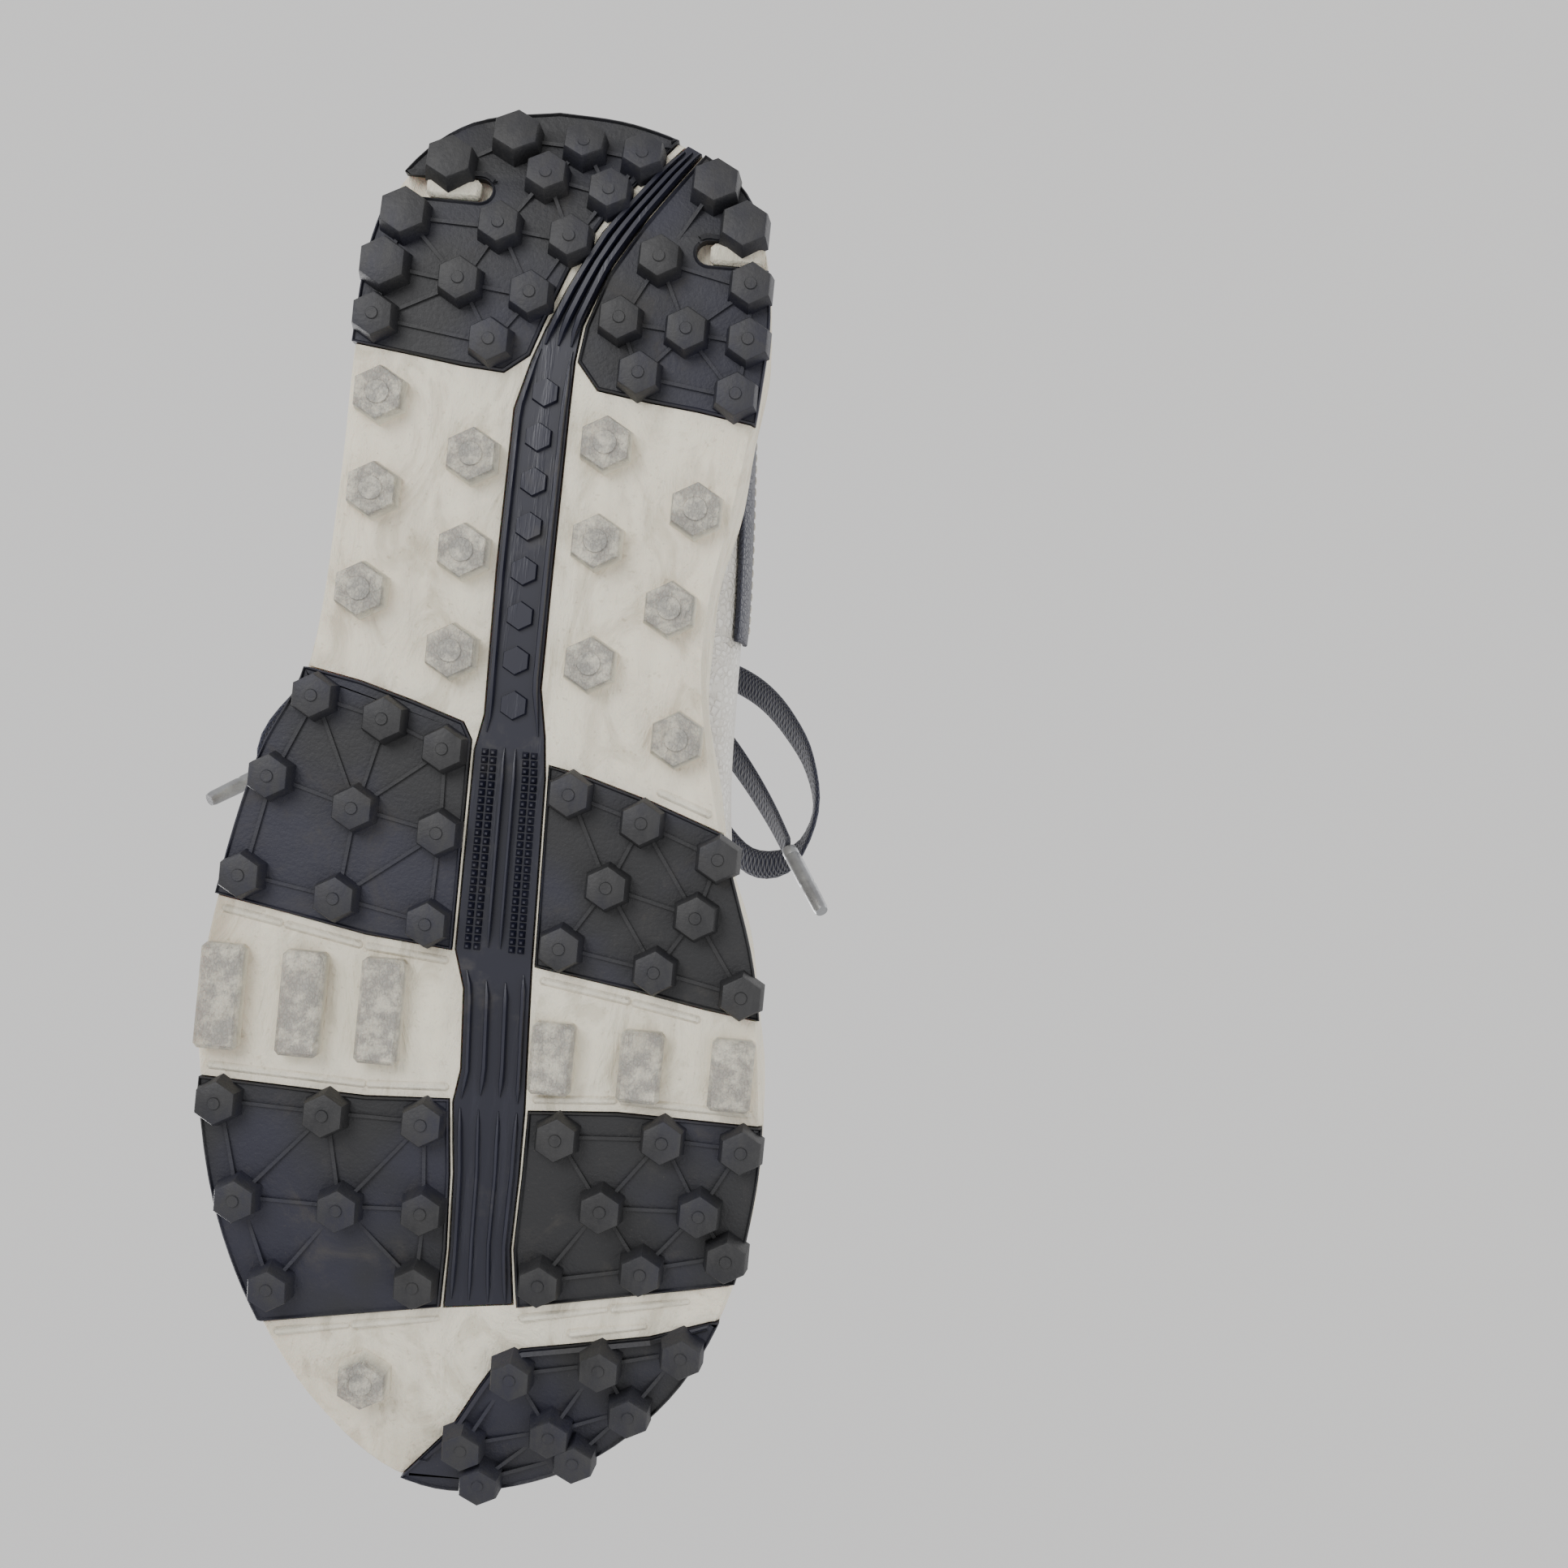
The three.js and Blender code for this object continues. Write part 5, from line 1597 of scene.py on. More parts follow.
@dataclass
class Upper:
    """The stitched upper: toe cap, vamp, quarters, foxing, eyestays and linings."""

    finishes: Finishes
    tuck: float = math.radians(-55)
    cap_seam: float = -66.0
    foxing_top: tuple[Pair, ...] = ((160, 48), (120, 44), (90, 39), (60, 31), (47, 28), (41.5, 24), (40, 18))

    def fox_height(self, y: float) -> float:
        """Height of the foxing's upper edge."""
        points = sorted(self.foxing_top)
        for (y0, h0), (y1, h1) in zip(points, points[1:]):
            if y <= y1:
                return HEEL_SEAT + h0 + (h1 - h0) * ease(y, y0, y1)
        return HEEL_SEAT + points[-1][1]

    def toe_cap(self) -> bpy.types.Object:
        """Builds the toe cap.

        Returns:
            The piece.
        """
        bm = new_bmesh()
        start = Last.station(self.cap_seam - 0.15, UPPER_OUT)

        def point(u: float, v: float) -> Vector:
            """Point of the cap."""
            t = start + (0.9996 - start) * (1 - (1 - u) ** 1.6)
            phi = self.tuck + (math.pi - 2 * self.tuck) * v
            return Last.point(t, phi, UPPER_OUT, pinch=u == 1.0)

        add_grid(bm, 44, 84, point)
        close_up(bm)
        made = finished(bm, "toe_cap_leather", self.finishes.white)
        thicken(made, 2.0, round_edge=0.5)
        return self.dress(made, "toe_cap", "forefoot")

    def dress(self, made: bpy.types.Object, node: str, body: str | None) -> bpy.types.Object:
        """Applies a panel's wall and ties it, or lets it bend where it has no body."""
        tie(settle(made), node, body)
        if body is None:
            flexing(made, upper=True)
        return made

    def vamp(self) -> bpy.types.Object:
        """Builds the vamp with the throat's round front end.

        Returns:
            The piece.
        """
        bm = new_bmesh()
        for side in (1, -1):

            def point(u: float, v: float) -> Vector:
                """Point of one side of the vamp."""
                middle = Last.station(-18.0, UPPER_OUT)
                rough = self.tuck + (math.pi / 2 - self.tuck) * v
                z = Last.point(middle, side_angle(rough, side), UPPER_OUT).z
                a = Last.station(self.cap_seam + 0.15, UPPER_OUT)
                b = Last.station(round(seam_at(z) - 0.15, 2), UPPER_OUT)
                t = a + (b - a) * u
                high = upper_edge(t, UPPER_OUT, side=side)
                return Last.point(t, side_angle(self.tuck + (high - self.tuck) * v, side), UPPER_OUT)

            add_grid(bm, 48, 44, point)
        close_up(bm)
        made = finished(bm, "vamp_leather", self.finishes.white)
        thicken(made, 2.0, round_edge=0.4)
        return self.dress(made, "vamp", None)

    def quarter(self, side: int) -> bpy.types.Object:
        """Builds one quarter."""
        bm = new_bmesh()
        height_panel(
            bm, side, lambda z: seam_at(z) + 0.15, lambda t: self.tuck,
            lambda t: upper_edge(t, UPPER_OUT, side=side), UPPER_OUT, (96, 44),
        )
        close_up(bm)
        name = "quarter_lateral" if side > 0 else "quarter_medial"
        made = finished(bm, name + "_leather", self.finishes.white)
        thicken(made, 2.0, round_edge=0.4)
        return self.dress(made, name, "rear")

    def foxing(self) -> bpy.types.Object:
        """Builds the heel foxing."""
        bm = new_bmesh()
        for side in (1, -1):
            height_panel(
                bm, side, lambda z: 40.0 + 1.5 * ease(z, 49, 55),
                lambda t: Last.angle_at_height(t, seat(Last.section(t)[0]) + RIM + CLEAR, OVER_OUT),
                lambda t: Last.angle_at_height(t, self.fox_height(Last.point(t, 0, OVER_OUT).y), OVER_OUT),
                OVER_OUT, (70, 16),
            )
        close_up(bm)
        made = finished(bm, "heel_foxing_leather", self.finishes.navy)
        thicken(made, 1.2, round_edge=0.35)
        return self.dress(made, "heel_foxing", "rear")

    def stay_point(self, side: int, u: float, v: float, offset: float) -> Vector:
        """Point of an eyestay, from its front end to its back and from the throat outwards."""
        y = -22 + (39 + 3 * v + 22) * u
        inner = throat_half(y) + 0.4
        outer = throat_half(y) + 8 + 7 * ease(y, -22, -15)
        return Last.over(THROAT_X + side * (inner + (outer - inner) * v), y, offset)

    def eyestay(self, side: int) -> bpy.types.Object:
        """Builds one eyestay."""
        bm = new_bmesh()
        add_grid(bm, 52, 14, lambda u, v: self.stay_point(side, u, v, OVER_OUT))
        close_up(bm)
        name = "eyestay_lateral" if side > 0 else "eyestay_medial"
        made = finished(bm, name + "_leather", self.finishes.navy)
        thicken(made, 1.2, round_edge=0.35)
        return self.dress(made, name, "rear")

    def lining(self) -> bpy.types.Object:
        """Builds the quarters' lining."""
        bm = new_bmesh()
        for side in (1, -1):
            height_panel(
                bm, side, lambda z: -14.8, lambda t: math.radians(-85),
                lambda t: upper_edge(t, LINING_OUT, side=side), LINING_OUT, (80, 36),
            )
        close_up(bm)
        made = finished(bm, "quarter_lining_cloth", self.finishes.lining)
        thicken(made, 1.0, round_edge=0.3)
        return self.dress(made, "quarter_lining", "rear")

    def inner_copy(self, node: str, material: bpy.types.Material) -> bpy.types.Object:
        """Copies a hidden layer that bends, so that it can flex.

        Args:
            node: the node that is copied.
            material: its finish.

        Returns:
            The piece.
        """
        bm = bmesh.new()
        bm.from_mesh(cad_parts[node].data)
        bmesh.ops.remove_doubles(bm, verts=bm.verts, dist=1e-6)
        for step in range(16):
            slice_across(bm, placed(0, -71 + 3.2 * step, 0), 1e-6)
        shade(bm)
        made = tie(linked(bm, node + "_layer", material), node, None)
        flexing(made, upper=node == "vamp_lining")
        return made

    @staticmethod
    def row_below(
        side: int,
        stations: tuple[float, float, float],
        steps: int,
        height: Callable[[float], float],
        offset: float,
    ) -> tuple[list[Vector], list[Vector]]:
        """Line of stitches along an edge, left out where the section doesn't reach its height.

        Args:
            side: 1 on the outer side and -1 on the inner.
            stations: its first and last station, and how much it crowds towards the first.
            steps: steps along it.
            height: its height at a length position.
            offset: the layer.

        Returns:
            Its points, and the outward direction at each.
        """
        first, last, crowd = stations
        points, normals = [], []
        for i in range(steps + 1):
            t = first + (last - first) * (i / steps) ** crowd
            z = height(Last.point(t, 0, offset).y)
            phi = side_angle(Last.angle_at_height(t, z, offset), side)
            spot = Last.point(t, phi, offset)
            if abs(spot.z - z) <= STITCH_MISS:
                points.append(spot)
                normals.append(Last.normal(max(t, 0.01), phi, offset))
        return points, normals

    def row_behind(self, side: int, behind: float) -> tuple[list[Vector], list[Vector]]:
        """Line of stitches on a quarter, at a distance behind the vamp's seam.

        Args:
            side: 1 on the outer side and -1 on the inner.
            behind: that distance.

        Returns:
            Its points, and the outward direction at each.
        """
        points, normals = [], []
        for i in range(41):
            rough = math.radians(-18) + math.radians(88) * (i / 40)
            t = Last.station(-14.0, UPPER_OUT)
            z = Last.point(t, side_angle(rough, side), UPPER_OUT).z
            t = Last.station(round(seam_at(z) + behind, 2), UPPER_OUT)
            phi = side_angle(rough, side)
            points.append(Last.point(t, phi, UPPER_OUT))
            normals.append(Last.normal(t, phi, UPPER_OUT))
        return points, normals

    def threads(self) -> None:
        """Sews the panels."""
        rear = Stitching("stitches_rear", self.finishes.thread)
        fore = Stitching("stitches_cap", self.finishes.thread)
        fox = (0.010, Last.station(43.0, OVER_OUT), 1.4)
        top = (0.012, Last.station(46.0, UPPER_OUT), 1.3)
        for side in (1, -1):
            for drop in (2.2, 4.4):
                rear.row(*self.row_below(side, fox, 60, lambda y: self.fox_height(y) - drop, OVER_OUT))
            rear.row(*self.row_below(side, top, 80, lambda y: topline(y) - 3.0, UPPER_OUT))
            for behind in (2.4, 4.8):
                rear.row(*self.row_behind(side, behind))
            for v in (0.10, 0.86):
                points = [self.stay_point(side, 0.02 + 0.96 * i / 60, v, OVER_OUT) for i in range(61)]
                rear.row(points, [Last.normal_over(p.x, p.y) for p in points])
            points = [self.stay_point(side, 0.025, 0.10 + 0.76 * i / 10, OVER_OUT) for i in range(11)]
            rear.row(points, [Last.normal_over(p.x, p.y) for p in points])
        for ahead in (2.4, 4.8):
            t = Last.station(self.cap_seam - ahead, UPPER_OUT)
            angles = [math.radians(-22) + math.radians(224) * i / 90 for i in range(91)]
            points = [Last.point(t, angle, UPPER_OUT) for angle in angles]
            fore.row(points, [Last.normal(t, angle, UPPER_OUT) for angle in angles])
        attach(rear.build(), "rear")
        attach(fore.build(), "forefoot")
        LOG.info("stitches")


@dataclass
class Collar:
    """The padded collar roll and its bound edge."""

    finishes: Finishes
    front: float = 52.0

    @staticmethod
    @lru_cache(maxsize=5000)
    def crown_station(rise: float, offset: float) -> float:
        """Station at which the last's crown passes a line above the top line."""

        def below(t: float) -> bool:
            """Whether the crown is still below the line."""
            spot = Last.point(t, math.pi / 2, offset)
            return spot.z < topline(spot.y) + rise

        return halve(0.0005, Last.station(100.0, offset), 26, below)[1]

    def line(self, share: float, rise: float, offset: float, front: float | None = None) -> Vector:
        """Point of a line that runs along the top line.

        Args:
            share: 0 at the outer front, a half at the heel and 1 at the inner front.
            rise: height above the top line.
            offset: the layer.
            front: length position of its front ends.

        Returns:
            The pattern point.
        """
        side = 1 if share < 0.5 else -1
        away = abs(2 * share - 1)
        rear = self.crown_station(round(rise, 3), round(offset, 3))
        t = rear + (Last.station(front or self.front, round(offset, 3)) - rear) * away**2
        y = Last.point(t, 0, offset).y
        phi = math.pi / 2 if away == 0 else Last.angle_at_height(t, topline(y) + rise, offset)
        return Last.point(t, side_angle(phi, side), offset)

    def pad(self) -> None:
        """Builds the padding: a crowned roll with two sewn channels."""
        bm = new_bmesh()

        def point(u: float, v: float) -> Vector:
            """Point of the roll, which sinks in at its channels and narrows at its ends."""
            angle = 2 * math.pi * v
            c, s = math.cos(angle), math.sin(angle)
            rise = -11.5 + 14.3 * boxy(c, 0.75)
            deep = 0.5 - 0.5 * boxy(s, 0.7)
            sewn = sum(math.exp(-(((rise - line) / 1.1) ** 2)) for line in (-7.0, -16.0))
            end = min(1.0, 0.35 + 9 * min(u, 1 - u))
            puff = 1.0 + 0.10 * math.sin(u * 61) * (1 - sewn)
            thickness = 4.3 * (1 - 0.45 * sewn) * end * puff
            return self.line(u, rise, -0.35 - thickness * deep)

        add_grid(bm, 130, 40, point)
        close_up(bm, fill=True)
        piece = tie(finished(bm, "collar_roll", self.finishes.lining, 60), "collar_padding")

    def binding(self) -> None:
        """Builds the bound edge between leather and padding."""
        bm = new_bmesh()
        path = [self.line(i / 150, 0.6, 2.1, 46.0) for i in range(151)]
        outs = [Vector((0, 0, 1))] * len(path)
        add_ribbon(bm, path, outs, [(3.6, 1.9)] * len(path), 12)
        close_up(bm, fill=True)
        tie(finished(bm, "collar_binding", self.finishes.navy, 70), None)


def add_ribbon(
    bm: bmesh.types.BMesh,
    path: Sequence[Vector],
    outs: Sequence[Vector],
    sizes: Sequence[Pair],
    sides: int = 14,
    squareness: float = 0.65,
) -> None:
    """Adds a flat cord along a path.

    Args:
        bm: the mesh.
        path: its centreline.
        outs: the direction that its flat side faces, at each point.
        sizes: its width and thickness at each point.
        sides: faces round it.
        squareness: 1 for an oval section, and less for a boxier one.
    """
    count = len(path) - 1
    total = sum((b - a).length for a, b in zip(path, path[1:]))

    def point(u: float, v: float) -> Vector:
        """Point of the cord's skin."""
        i = round(u * count)
        axis = (path[min(i + 1, count)] - path[max(i - 1, 0)]).normalized()
        out = (outs[i] - axis * outs[i].dot(axis)).normalized()
        side = axis.cross(out)
        angle = 2 * math.pi * v
        c, s = math.cos(angle), math.sin(angle)
        wide, thick = sizes[i]
        x = wide / 2 * boxy(c, squareness)
        y = thick / 2 * boxy(s, squareness)
        return path[i] + side * x + out * y

    add_grid(bm, count, sides, point, (total * MM, 1.0))


@dataclass
class Tongue:
    """The padded tongue, quilted in channels."""

    finishes: Finishes

    @staticmethod
    def half_width(y: float) -> float:
        """Half its width at a length position."""
        points = [(-37, 13.0), (-20, 16.5), (10, 21.0), (40, 20.5), (50, 16.0)]
        for (y0, w0), (y1, w1) in zip(points, points[1:]):
            if y <= y1:
                return w0 + (w1 - w0) * smooth(y, y0, y1)
        return points[-1][1]

    def build(self) -> None:
        """Builds the tongue."""
        bm = new_bmesh()

        def point(u: float, v: float) -> Vector:
            """Point of the tongue, which sinks in at its channels."""
            y = -36.6 + 86.4 * u
            angle = 2 * math.pi * v
            c, s = math.cos(angle), math.sin(angle)
            end = min(1.0, 0.3 + 11 * min(u, 1 - u)) ** 0.5
            x = THROAT_X + self.half_width(y) * end * boxy(c, 0.8)
            sewn = sum(math.exp(-(((x + 1 - line) / 0.9) ** 2)) for line in (-12.0, 0.0, 12.0))
            cross = math.exp(-(((y % 14.0) - 7.0) ** 2) / 1.4)
            thick = 4.0 * end * (1 - 0.38 * max(sewn, cross * 0.9))
            middle = TONGUE_TOP - 2.0
            offset = middle + thick / 2 * boxy(s, 0.6)
            return Last.over(x, y, offset)

        add_grid(bm, 84, 46, point)
        close_up(bm, fill=True)
        piece = tie(finished(bm, "tongue_pad", self.finishes.lining, 70), "tongue", "tongue")


# --- eyelets and lace
@dataclass(frozen=True)
class Eyelet:
    """Place of one eyelet."""

    side: int
    row: int

    @property
    def y(self) -> float:
        """Length position."""
        return -15.0 + 13.0 * self.row

    @property
    def x(self) -> float:
        """Plan position across the shoe."""
        return THROAT_X + self.side * (throat_half(self.y) + 7.0)

    @property
    def at(self) -> Vector:
        """Its foot, on the lining's inner face."""
        return Last.over(self.x, self.y, 0)

    @property
    def normal(self) -> Vector:
        """Its axis."""
        return Last.normal_over(self.x, self.y)

    @property
    def stack(self) -> float:
        """Thickness of the layers that it holds."""
        return (Last.over(self.x, self.y, OVER_OUT) - self.at).dot(self.normal)

    @property
    def node(self) -> str:
        """Name of its node."""
        return f"eyelet_{'lateral' if self.side > 0 else 'medial'}_{self.row + 1}"

    def build(self, finishes: Finishes) -> None:
        """Builds the flanged barrel."""
        head = self.stack + 0.45
        profile = [
            (2.4, 0.3), (2.85, 0.3), (2.9, head), (4.3, head), (4.35, head + 0.2), (3.9, head + 0.6),
            (3.3, head + 0.78), (2.75, head + 0.68), (2.45, head + 0.3),
        ]
        bm = turned([*profile, profile[0]], 22, self.at, self.normal)
        tie(finished(bm, self.node + "_ring", finishes.eyelet, 50), self.node)


KNOT_Y = 37.0
# Point of the lace's way, the direction its flat side faces, and its width and thickness there.
Station = tuple[Vector, Vector, Pair]
# Routes of the free loops and ends, from the knot.
LOOPS: dict[str, list[tuple[float, float, float]]] = {
    "lateral": [
        (8.8, 37.6, 122.8), (14, 38.4, 126.4), (22, 39.5, 126.2), (31, 38.5, 117.5), (40, 36, 106),
        (48, 32, 94.5),
        (56, 26, 83), (64, 17, 71.5), (69, 5, 64.5), (65, -7, 67), (56, -11.5, 77), (46.5, -8.5, 90),
        (38, 1, 101),
        (30, 13, 111.5), (22.5, 23.5, 119.8), (16, 29, 123.8), (11, 31.5, 125.4), (6.5, 34.5, 124.6),
    ],
    "medial": [
        (-10.8, 37.6, 122.8), (-16, 38.4, 126.4), (-24, 39.5, 126.2), (-33, 38.5, 117), (-42, 35.5, 105),
        (-50, 31, 93.5), (-57, 24, 81.5), (-63, 14.5, 71), (-65.5, 3, 65.5), (-61.5, -8, 68.5),
        (-52.5, -11.5, 79.5), (-43.5, -6, 92.5), (-35.5, 5, 103), (-28.5, 16, 112.5), (-23, 24.5, 119.8),
        (-17, 29.5, 123.9), (-12.5, 31.5, 125.4), (-8.5, 34.5, 124.6),
    ],
}
ENDS: dict[str, list[tuple[float, float, float]]] = {
    "lateral": [
        (6.2, 31.2, 116.6), (12, 29.2, 118.9), (18, 28.6, 117.8), (25, 28, 113.2), (32, 26, 105.5),
        (40, 22, 95),
        (48, 16, 83.5), (56, 9, 72.5), (62.5, 3, 63),
    ],
    "medial": [
        (-8.2, 31.2, 116.6), (-14, 29.2, 118.6), (-20, 28.6, 117.6), (-27, 28, 112.8), (-34, 24.5, 103.5),
        (-42, 17, 91.5), (-49, 9, 80), (-55, 1, 69), (-59.5, -6, 59.5),
    ],
}
# Foot and end of each lace tip.
TIPS = {
    "lateral": ((62.9, 2.6, 62.4), (75.9, -7.4, 48.9)),
    "medial": ((-59.9, -6.5, 58.8), (-68.7, -19.5, 45.0)),
}


@dataclass
class Lace:
    """The flat lace: its run through the eyelets, the knot, two loops and two ends."""

    finishes: Finishes
    width: float = 7.0
    thickness: float = 1.4

    def free(self) -> None:
        for name in ("lateral", "medial"):
            tip = self.tip(name)
            for kind, route in (("loop", LOOPS[name]), ("end", ENDS[name])):
                path = smooth_path(route, 70 if kind == "loop" else 40)
                outs = [(p - Vector((-1.0, p.y, 62.0))).normalized() for p in path]
                bm = new_bmesh()
                add_ribbon(bm, path, outs, [(self.width, self.thickness)] * len(path))
                close_up(bm, fill=True)
                node = f"lace_{kind}_{name}"
                piece = tie(finished(bm, node + "_braid", self.finishes.lace, 70), node)
                line = [placed(*p) for p in path]
                length = sum((b - a).length for a, b in zip(line, line[1:]))
                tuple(line[0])
                LOG.info("%s %.0f mm", node, length / MM)

    def tip(self, name: str) -> bpy.types.Object:
        """Builds a lace's sheathed tip."""
        start, end = (Vector(p) for p in TIPS[name])
        axis = end - start
        length = axis.length
        profile = [
            (0.0, 0.0), (1.75, 0.0), (1.9, 0.5), (1.9, 2.0), (1.7, 2.4), (1.9, 2.8), (1.86, length * 0.55),
            (1.66, length * 0.58), (1.82, length * 0.61), (1.7, length - 1.0), (1.45, length), (0.0, length),
        ]
        bm = turned(profile, 18, start, axis.normalized())
        return tie(finished(bm, f"aglet_{name}_sheath", self.finishes.aglet, 40), f"aglet_{name}")

    def run(self) -> None:
        """Builds the lace's run through the eyelets."""
        depth = 2.4
        nodes: list[Station] = []
        flat, bunched, hidden = (self.width, self.thickness), (3.5, 2.5), (4.6, 1.7)

        def lid(eyelet: Eyelet) -> float:
            """Height at which the lace turns over an eyelet's rim."""
            return eyelet.stack + 0.7 + 0.9 + 1.2

        def climb(eyelet: Eyelet) -> list[Station]:
            """Way up through an eyelet."""
            inward = Vector((-eyelet.side, 0, 0))
            rises = [(-depth, hidden), (0.8, bunched), (eyelet.stack, bunched), (lid(eyelet), bunched)]
            return [(eyelet.at + eyelet.normal * h, inward, size) for h, size in rises]

        def above(x: float, y: float, height: float) -> Vector:
            """Point above the last at a plan position."""
            return Last.over(x, y, 0) + Last.normal_over(x, y) * height

        def bar(start: Eyelet, end: Eyelet) -> list[Station]:
            """Bar over the throat between two eyelets of a row."""
            half = throat_half(start.y)
            shares = [(1.0, lid(start)), (0.5, 2.4), (0.0, 1.4), (-0.5, 2.4), (-1.0, lid(end))]
            up = Last.normal_over(THROAT_X, start.y)
            return [(above(THROAT_X + start.side * s * half, start.y, h), up, flat) for s, h in shares]

        def under(start: Eyelet, end: Eyelet, bow: float = 0.0, only: bool = False) -> list[Station]:
            """Way under the layers between two eyelets, bowed sideways, by three points or only one."""
            a, b = start.at, end.at
            result = []
            for s in (0.5,) if only else (0.3, 0.5, 0.7):
                x, y = a.x + (b.x - a.x) * s + bow, a.y + (b.y - a.y) * s
                result.append((above(x, y, -depth), Last.normal_over(x, y), hidden))
            return result

        def finish(eyelet: Eyelet) -> list[Station]:
            """Way from a top eyelet to the knot."""
            edge = above(THROAT_X + eyelet.side * throat_half(eyelet.y), eyelet.y, lid(eyelet))
            end = self.knot_at() + Vector((eyelet.side * 8.3, 0, 0))
            up = Last.normal_over(THROAT_X, eyelet.y)
            return [(edge, up, flat), (end, up, (5.0, 2.0))]

        l1, l2, l3, l4, l5 = (Eyelet(1, row) for row in range(5))
        m1, m2, m3, m4, m5 = (Eyelet(-1, row) for row in range(5))
        nodes += [*reversed(finish(l5)), *reversed(climb(l5)), *under(l5, l4, only=True), *climb(l4)]
        nodes += [*bar(l4, m4), *reversed(climb(m4)), *under(m4, m2, -3.0), *climb(m2), *bar(m2, l2)]
        nodes += [*reversed(climb(l2)), *under(l2, l1, only=True), *climb(l1), *bar(l1, m1)]
        nodes += [*reversed(climb(m1)), *under(m1, m3, 3.0)]
        nodes += [*climb(m3), *bar(m3, l3), *reversed(climb(l3)), *under(l3, m5), *climb(m5), *finish(m5)]
        path = smooth_path([n[0] for n in nodes], 620)
        outs, sizes = [], []
        for i in range(len(path)):
            place = i / (len(path) - 1) * (len(nodes) - 1)
            k = min(int(place), len(nodes) - 2)
            share = smooth(place - k, 0, 1)
            outs.append(nodes[k][1].lerp(nodes[k + 1][1], share).normalized())
            a, b = nodes[k][2], nodes[k + 1][2]
            sizes.append((a[0] + (b[0] - a[0]) * share, a[1] + (b[1] - a[1]) * share))
        bm = new_bmesh()
        add_ribbon(bm, path, outs, sizes, 12)
        close_up(bm, 0.002, fill=True)
        tie(finished(bm, "lace_run_braid", self.finishes.lace, 75), "lace_run")

    @staticmethod
    def knot_at() -> Vector:
        """Middle of the knot."""
        rise = TONGUE_TOP * 0.72 + 0.6 + 4.2
        return Last.over(THROAT_X, KNOT_Y, 0) + Last.normal_over(THROAT_X, KNOT_Y) * rise

    def knot(self) -> None:
        """Builds the knot: a wrap over two folded turns."""
        centre = self.knot_at()
        up = Last.normal_over(THROAT_X, KNOT_Y)
        across = Vector((1, 0, 0))
        along = up.cross(across).normalized()
        bm = new_bmesh()

        def turn(middle: Vector, first: Vector, second: Vector, reach: Pair, size: Pair) -> None:
            """Adds one closed turn of the lace, in the plane of two directions."""
            path, outs = [], []
            for i in range(37):
                a = 2 * math.pi * i / 36
                arm = first * (math.cos(a) * reach[0]) + second * (math.sin(a) * reach[1])
                path.append(middle + arm)
                outs.append(arm.normalized())
            add_ribbon(bm, path, outs, [size] * len(path), 12)

        turn(centre + up * 0.2, up, along, (3.2, 4.6), (4.2, 1.5))
        turn(centre + across * 4.4 - up * 0.3, across, along * 0.8 + up * 0.6, (2.9, 3.4), (3.6, 1.6))
        turn(centre - across * 4.4 - up * 0.3, across, along * 0.8 - up * 0.6, (2.9, 3.4), (3.6, 1.6))
        turn(centre - along * 0.5, across, up, (5.2, 2.0), (5.0, 1.5))
        close_up(bm, 0.002)
        tie(finished(bm, "lace_knot_braid", self.finishes.lace, 75), "lace_knot")


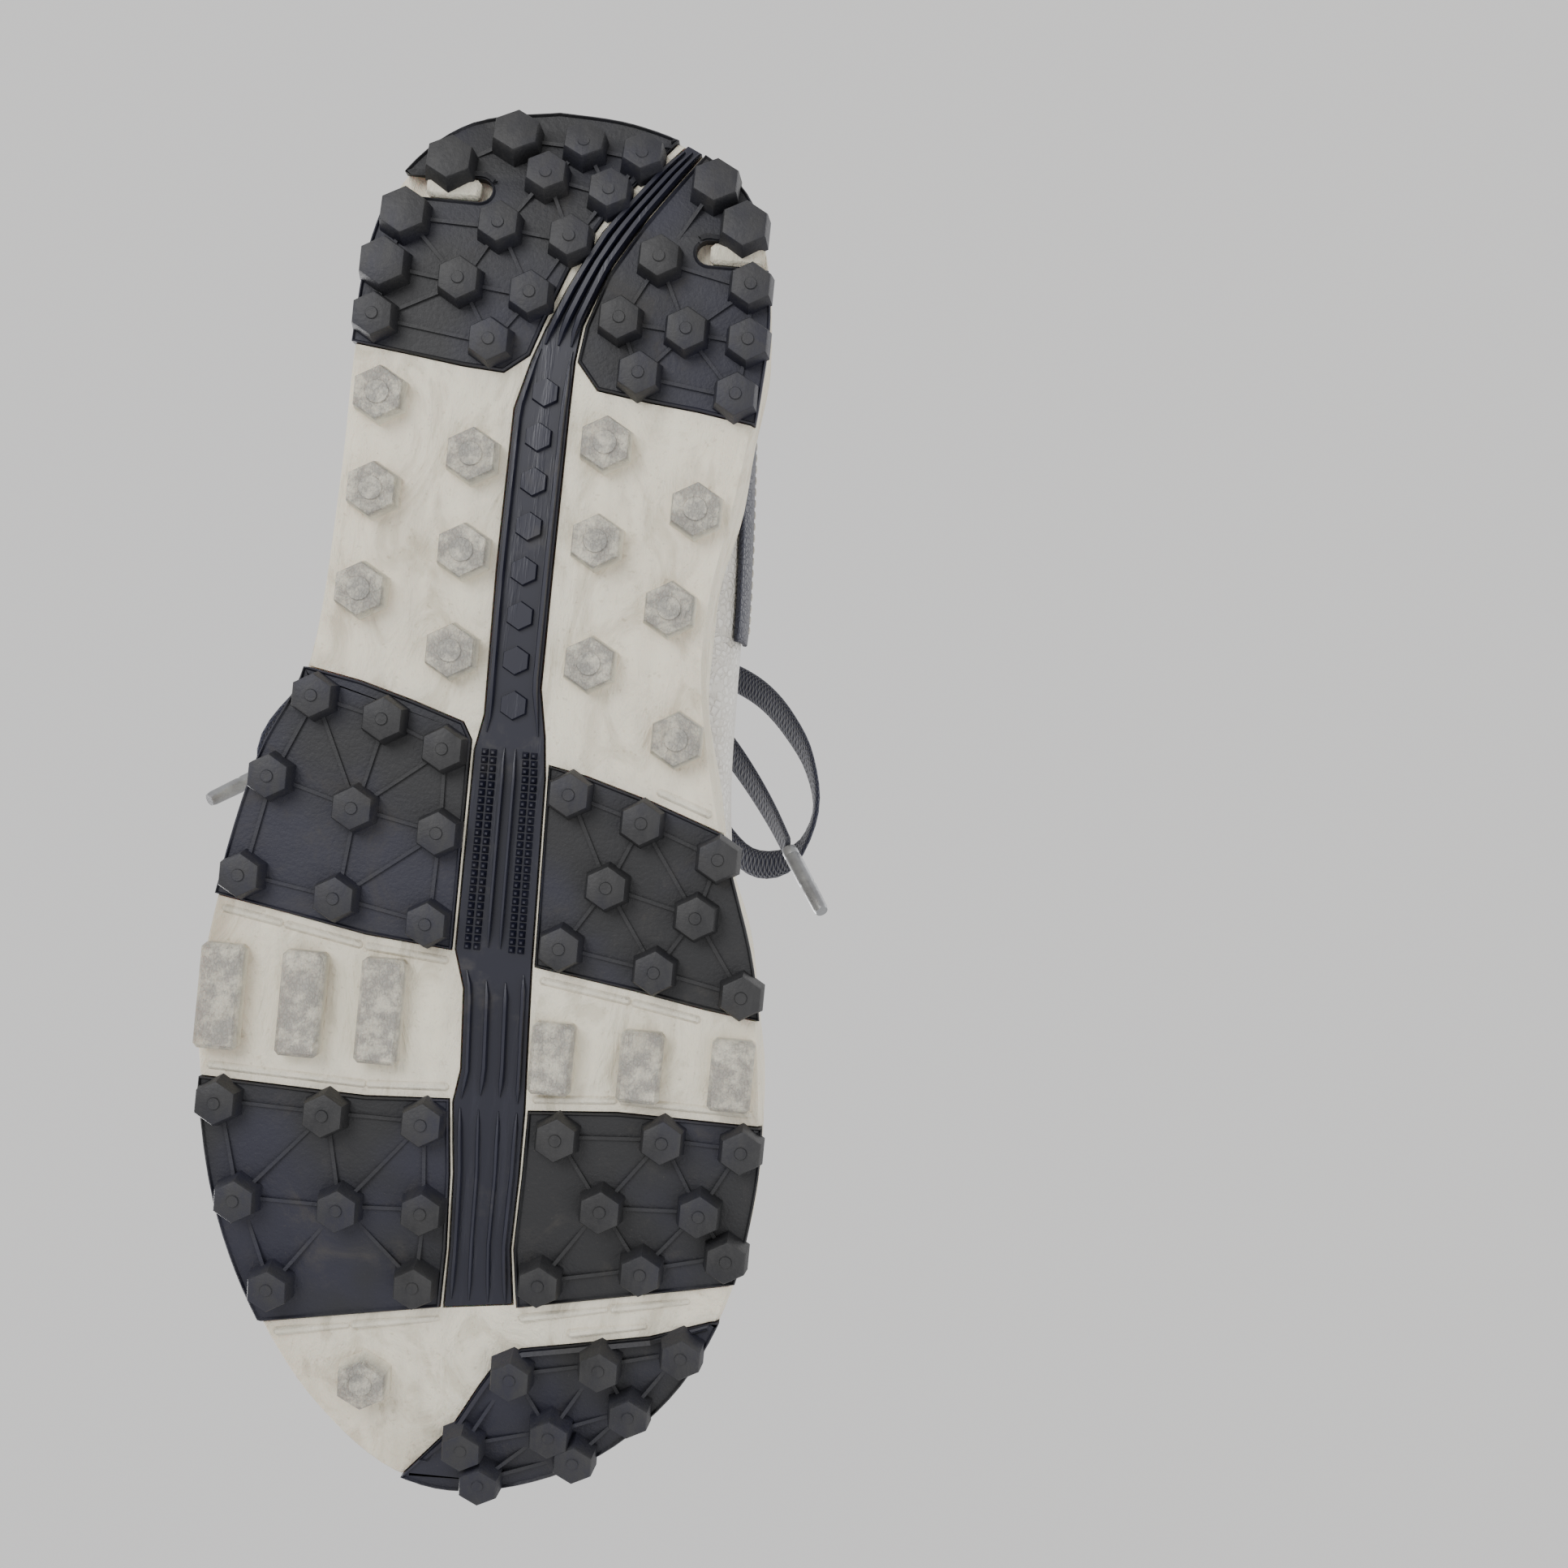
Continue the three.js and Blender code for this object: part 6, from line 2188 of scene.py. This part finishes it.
# --- studio
@dataclass
class Studio:
    """The camera, the lights and the pale floor."""

    roll: float = math.radians(5.44)
    lens: float = 42.4

    def camera(self) -> None:
        """Places the camera under the sole, with the toe at the foot of the frame."""
        data = bpy.data.cameras.new("camera")
        data.lens = self.lens
        data.sensor_width = 36.0
        data.clip_start = 0.01
        made = bpy.data.objects.new("camera", data)
        bpy.context.scene.collection.objects.link(made)
        c, s = math.cos(self.roll), math.sin(self.roll)
        turn = Matrix(((-c, s, 0.0), (s, c, 0.0), (0.0, 0.0, -1.0)))
        made.matrix_world = Matrix.Translation(placed(-57.2, 9.0, -382.0)) @ turn.to_4x4()
        bpy.context.scene.camera = made

    def lamp(self, name: str, place: Sequence[float], power: float, size: float) -> None:
        """Adds a soft light that faces the shoe."""
        data = bpy.data.lights.new(name, "AREA")
        data.energy = power
        data.size = size
        made = bpy.data.objects.new(name, data)
        made.location = place
        made.rotation_euler = (Vector((0, 0, 0.05)) - Vector(place)).to_track_quat("-Z", "Y").to_euler()
        bpy.context.scene.collection.objects.link(made)

    def build(self) -> None:
        """Builds the floor, the lights and the sky."""
        bm = bmesh.new()
        bmesh.ops.create_grid(bm, x_segments=1, y_segments=1, size=40.0)
        floor = linked(bm, "studio_floor", StageFinish("studio_floor", (0.60, 0.60, 0.595)).build())
        floor.location = (0, 0, -0.0004)
        floor.visible_shadow = False
        floor.visible_diffuse = False
        floor.visible_glossy = False
        floor.visible_transmission = False
        self.lamp("key_below", (0.5, 0.5, -0.85), 9.0, 0.6)
        self.lamp("fill_below", (-0.75, -0.35, -0.6), 4.0, 0.9)
        self.lamp("key_above", (0.75, -0.7, 1.15), 19.0, 0.7)
        self.lamp("fill_above", (-0.9, 0.6, 0.9), 5.0, 1.0)
        world = bpy.data.worlds.new("studio_sky")
        world.use_nodes = True
        sky = world.node_tree.nodes["Background"]
        sky.inputs["Color"].default_value = (0.86, 0.85, 0.845, 1.0)
        sky.inputs["Strength"].default_value = 1.05
        bpy.context.scene.world = world


def main() -> None:
    """Builds the shoe's looks, piece by piece."""
    studio = Studio()
    studio.camera()
    finishes = Finishes()
    lace = Lace(finishes)
    lace.free()
    lace.run()
    lace.knot()
    Pods(finishes).build()
    Spine(finishes).build()
    Midsole(finishes).build()
    upper = Upper(finishes)
    upper.toe_cap()
    upper.vamp()
    for side in (1, -1):
        upper.quarter(side)
        upper.eyestay(side)
    upper.foxing()
    upper.lining()
    upper.inner_copy("vamp_lining", finishes.lining)
    upper.inner_copy("strobel_board", finishes.board)
    upper.inner_copy("sockliner", finishes.sock)
    upper.threads()
    for name in ("toe_puff", "heel_counter"):
        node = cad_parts[name]
        node.data.materials.clear()
        node.data.materials.append(finishes.board)
    collar = Collar(finishes)
    collar.pad()
    collar.binding()
    Tongue(finishes).build()
    for side in (1, -1):
        for row in range(EYELET_ROWS):
            Eyelet(side, row).build(finishes)
    studio.build()


if __name__ == "__main__":
    logging.basicConfig(level=logging.INFO, format="%(name)s: %(message)s")
    main()
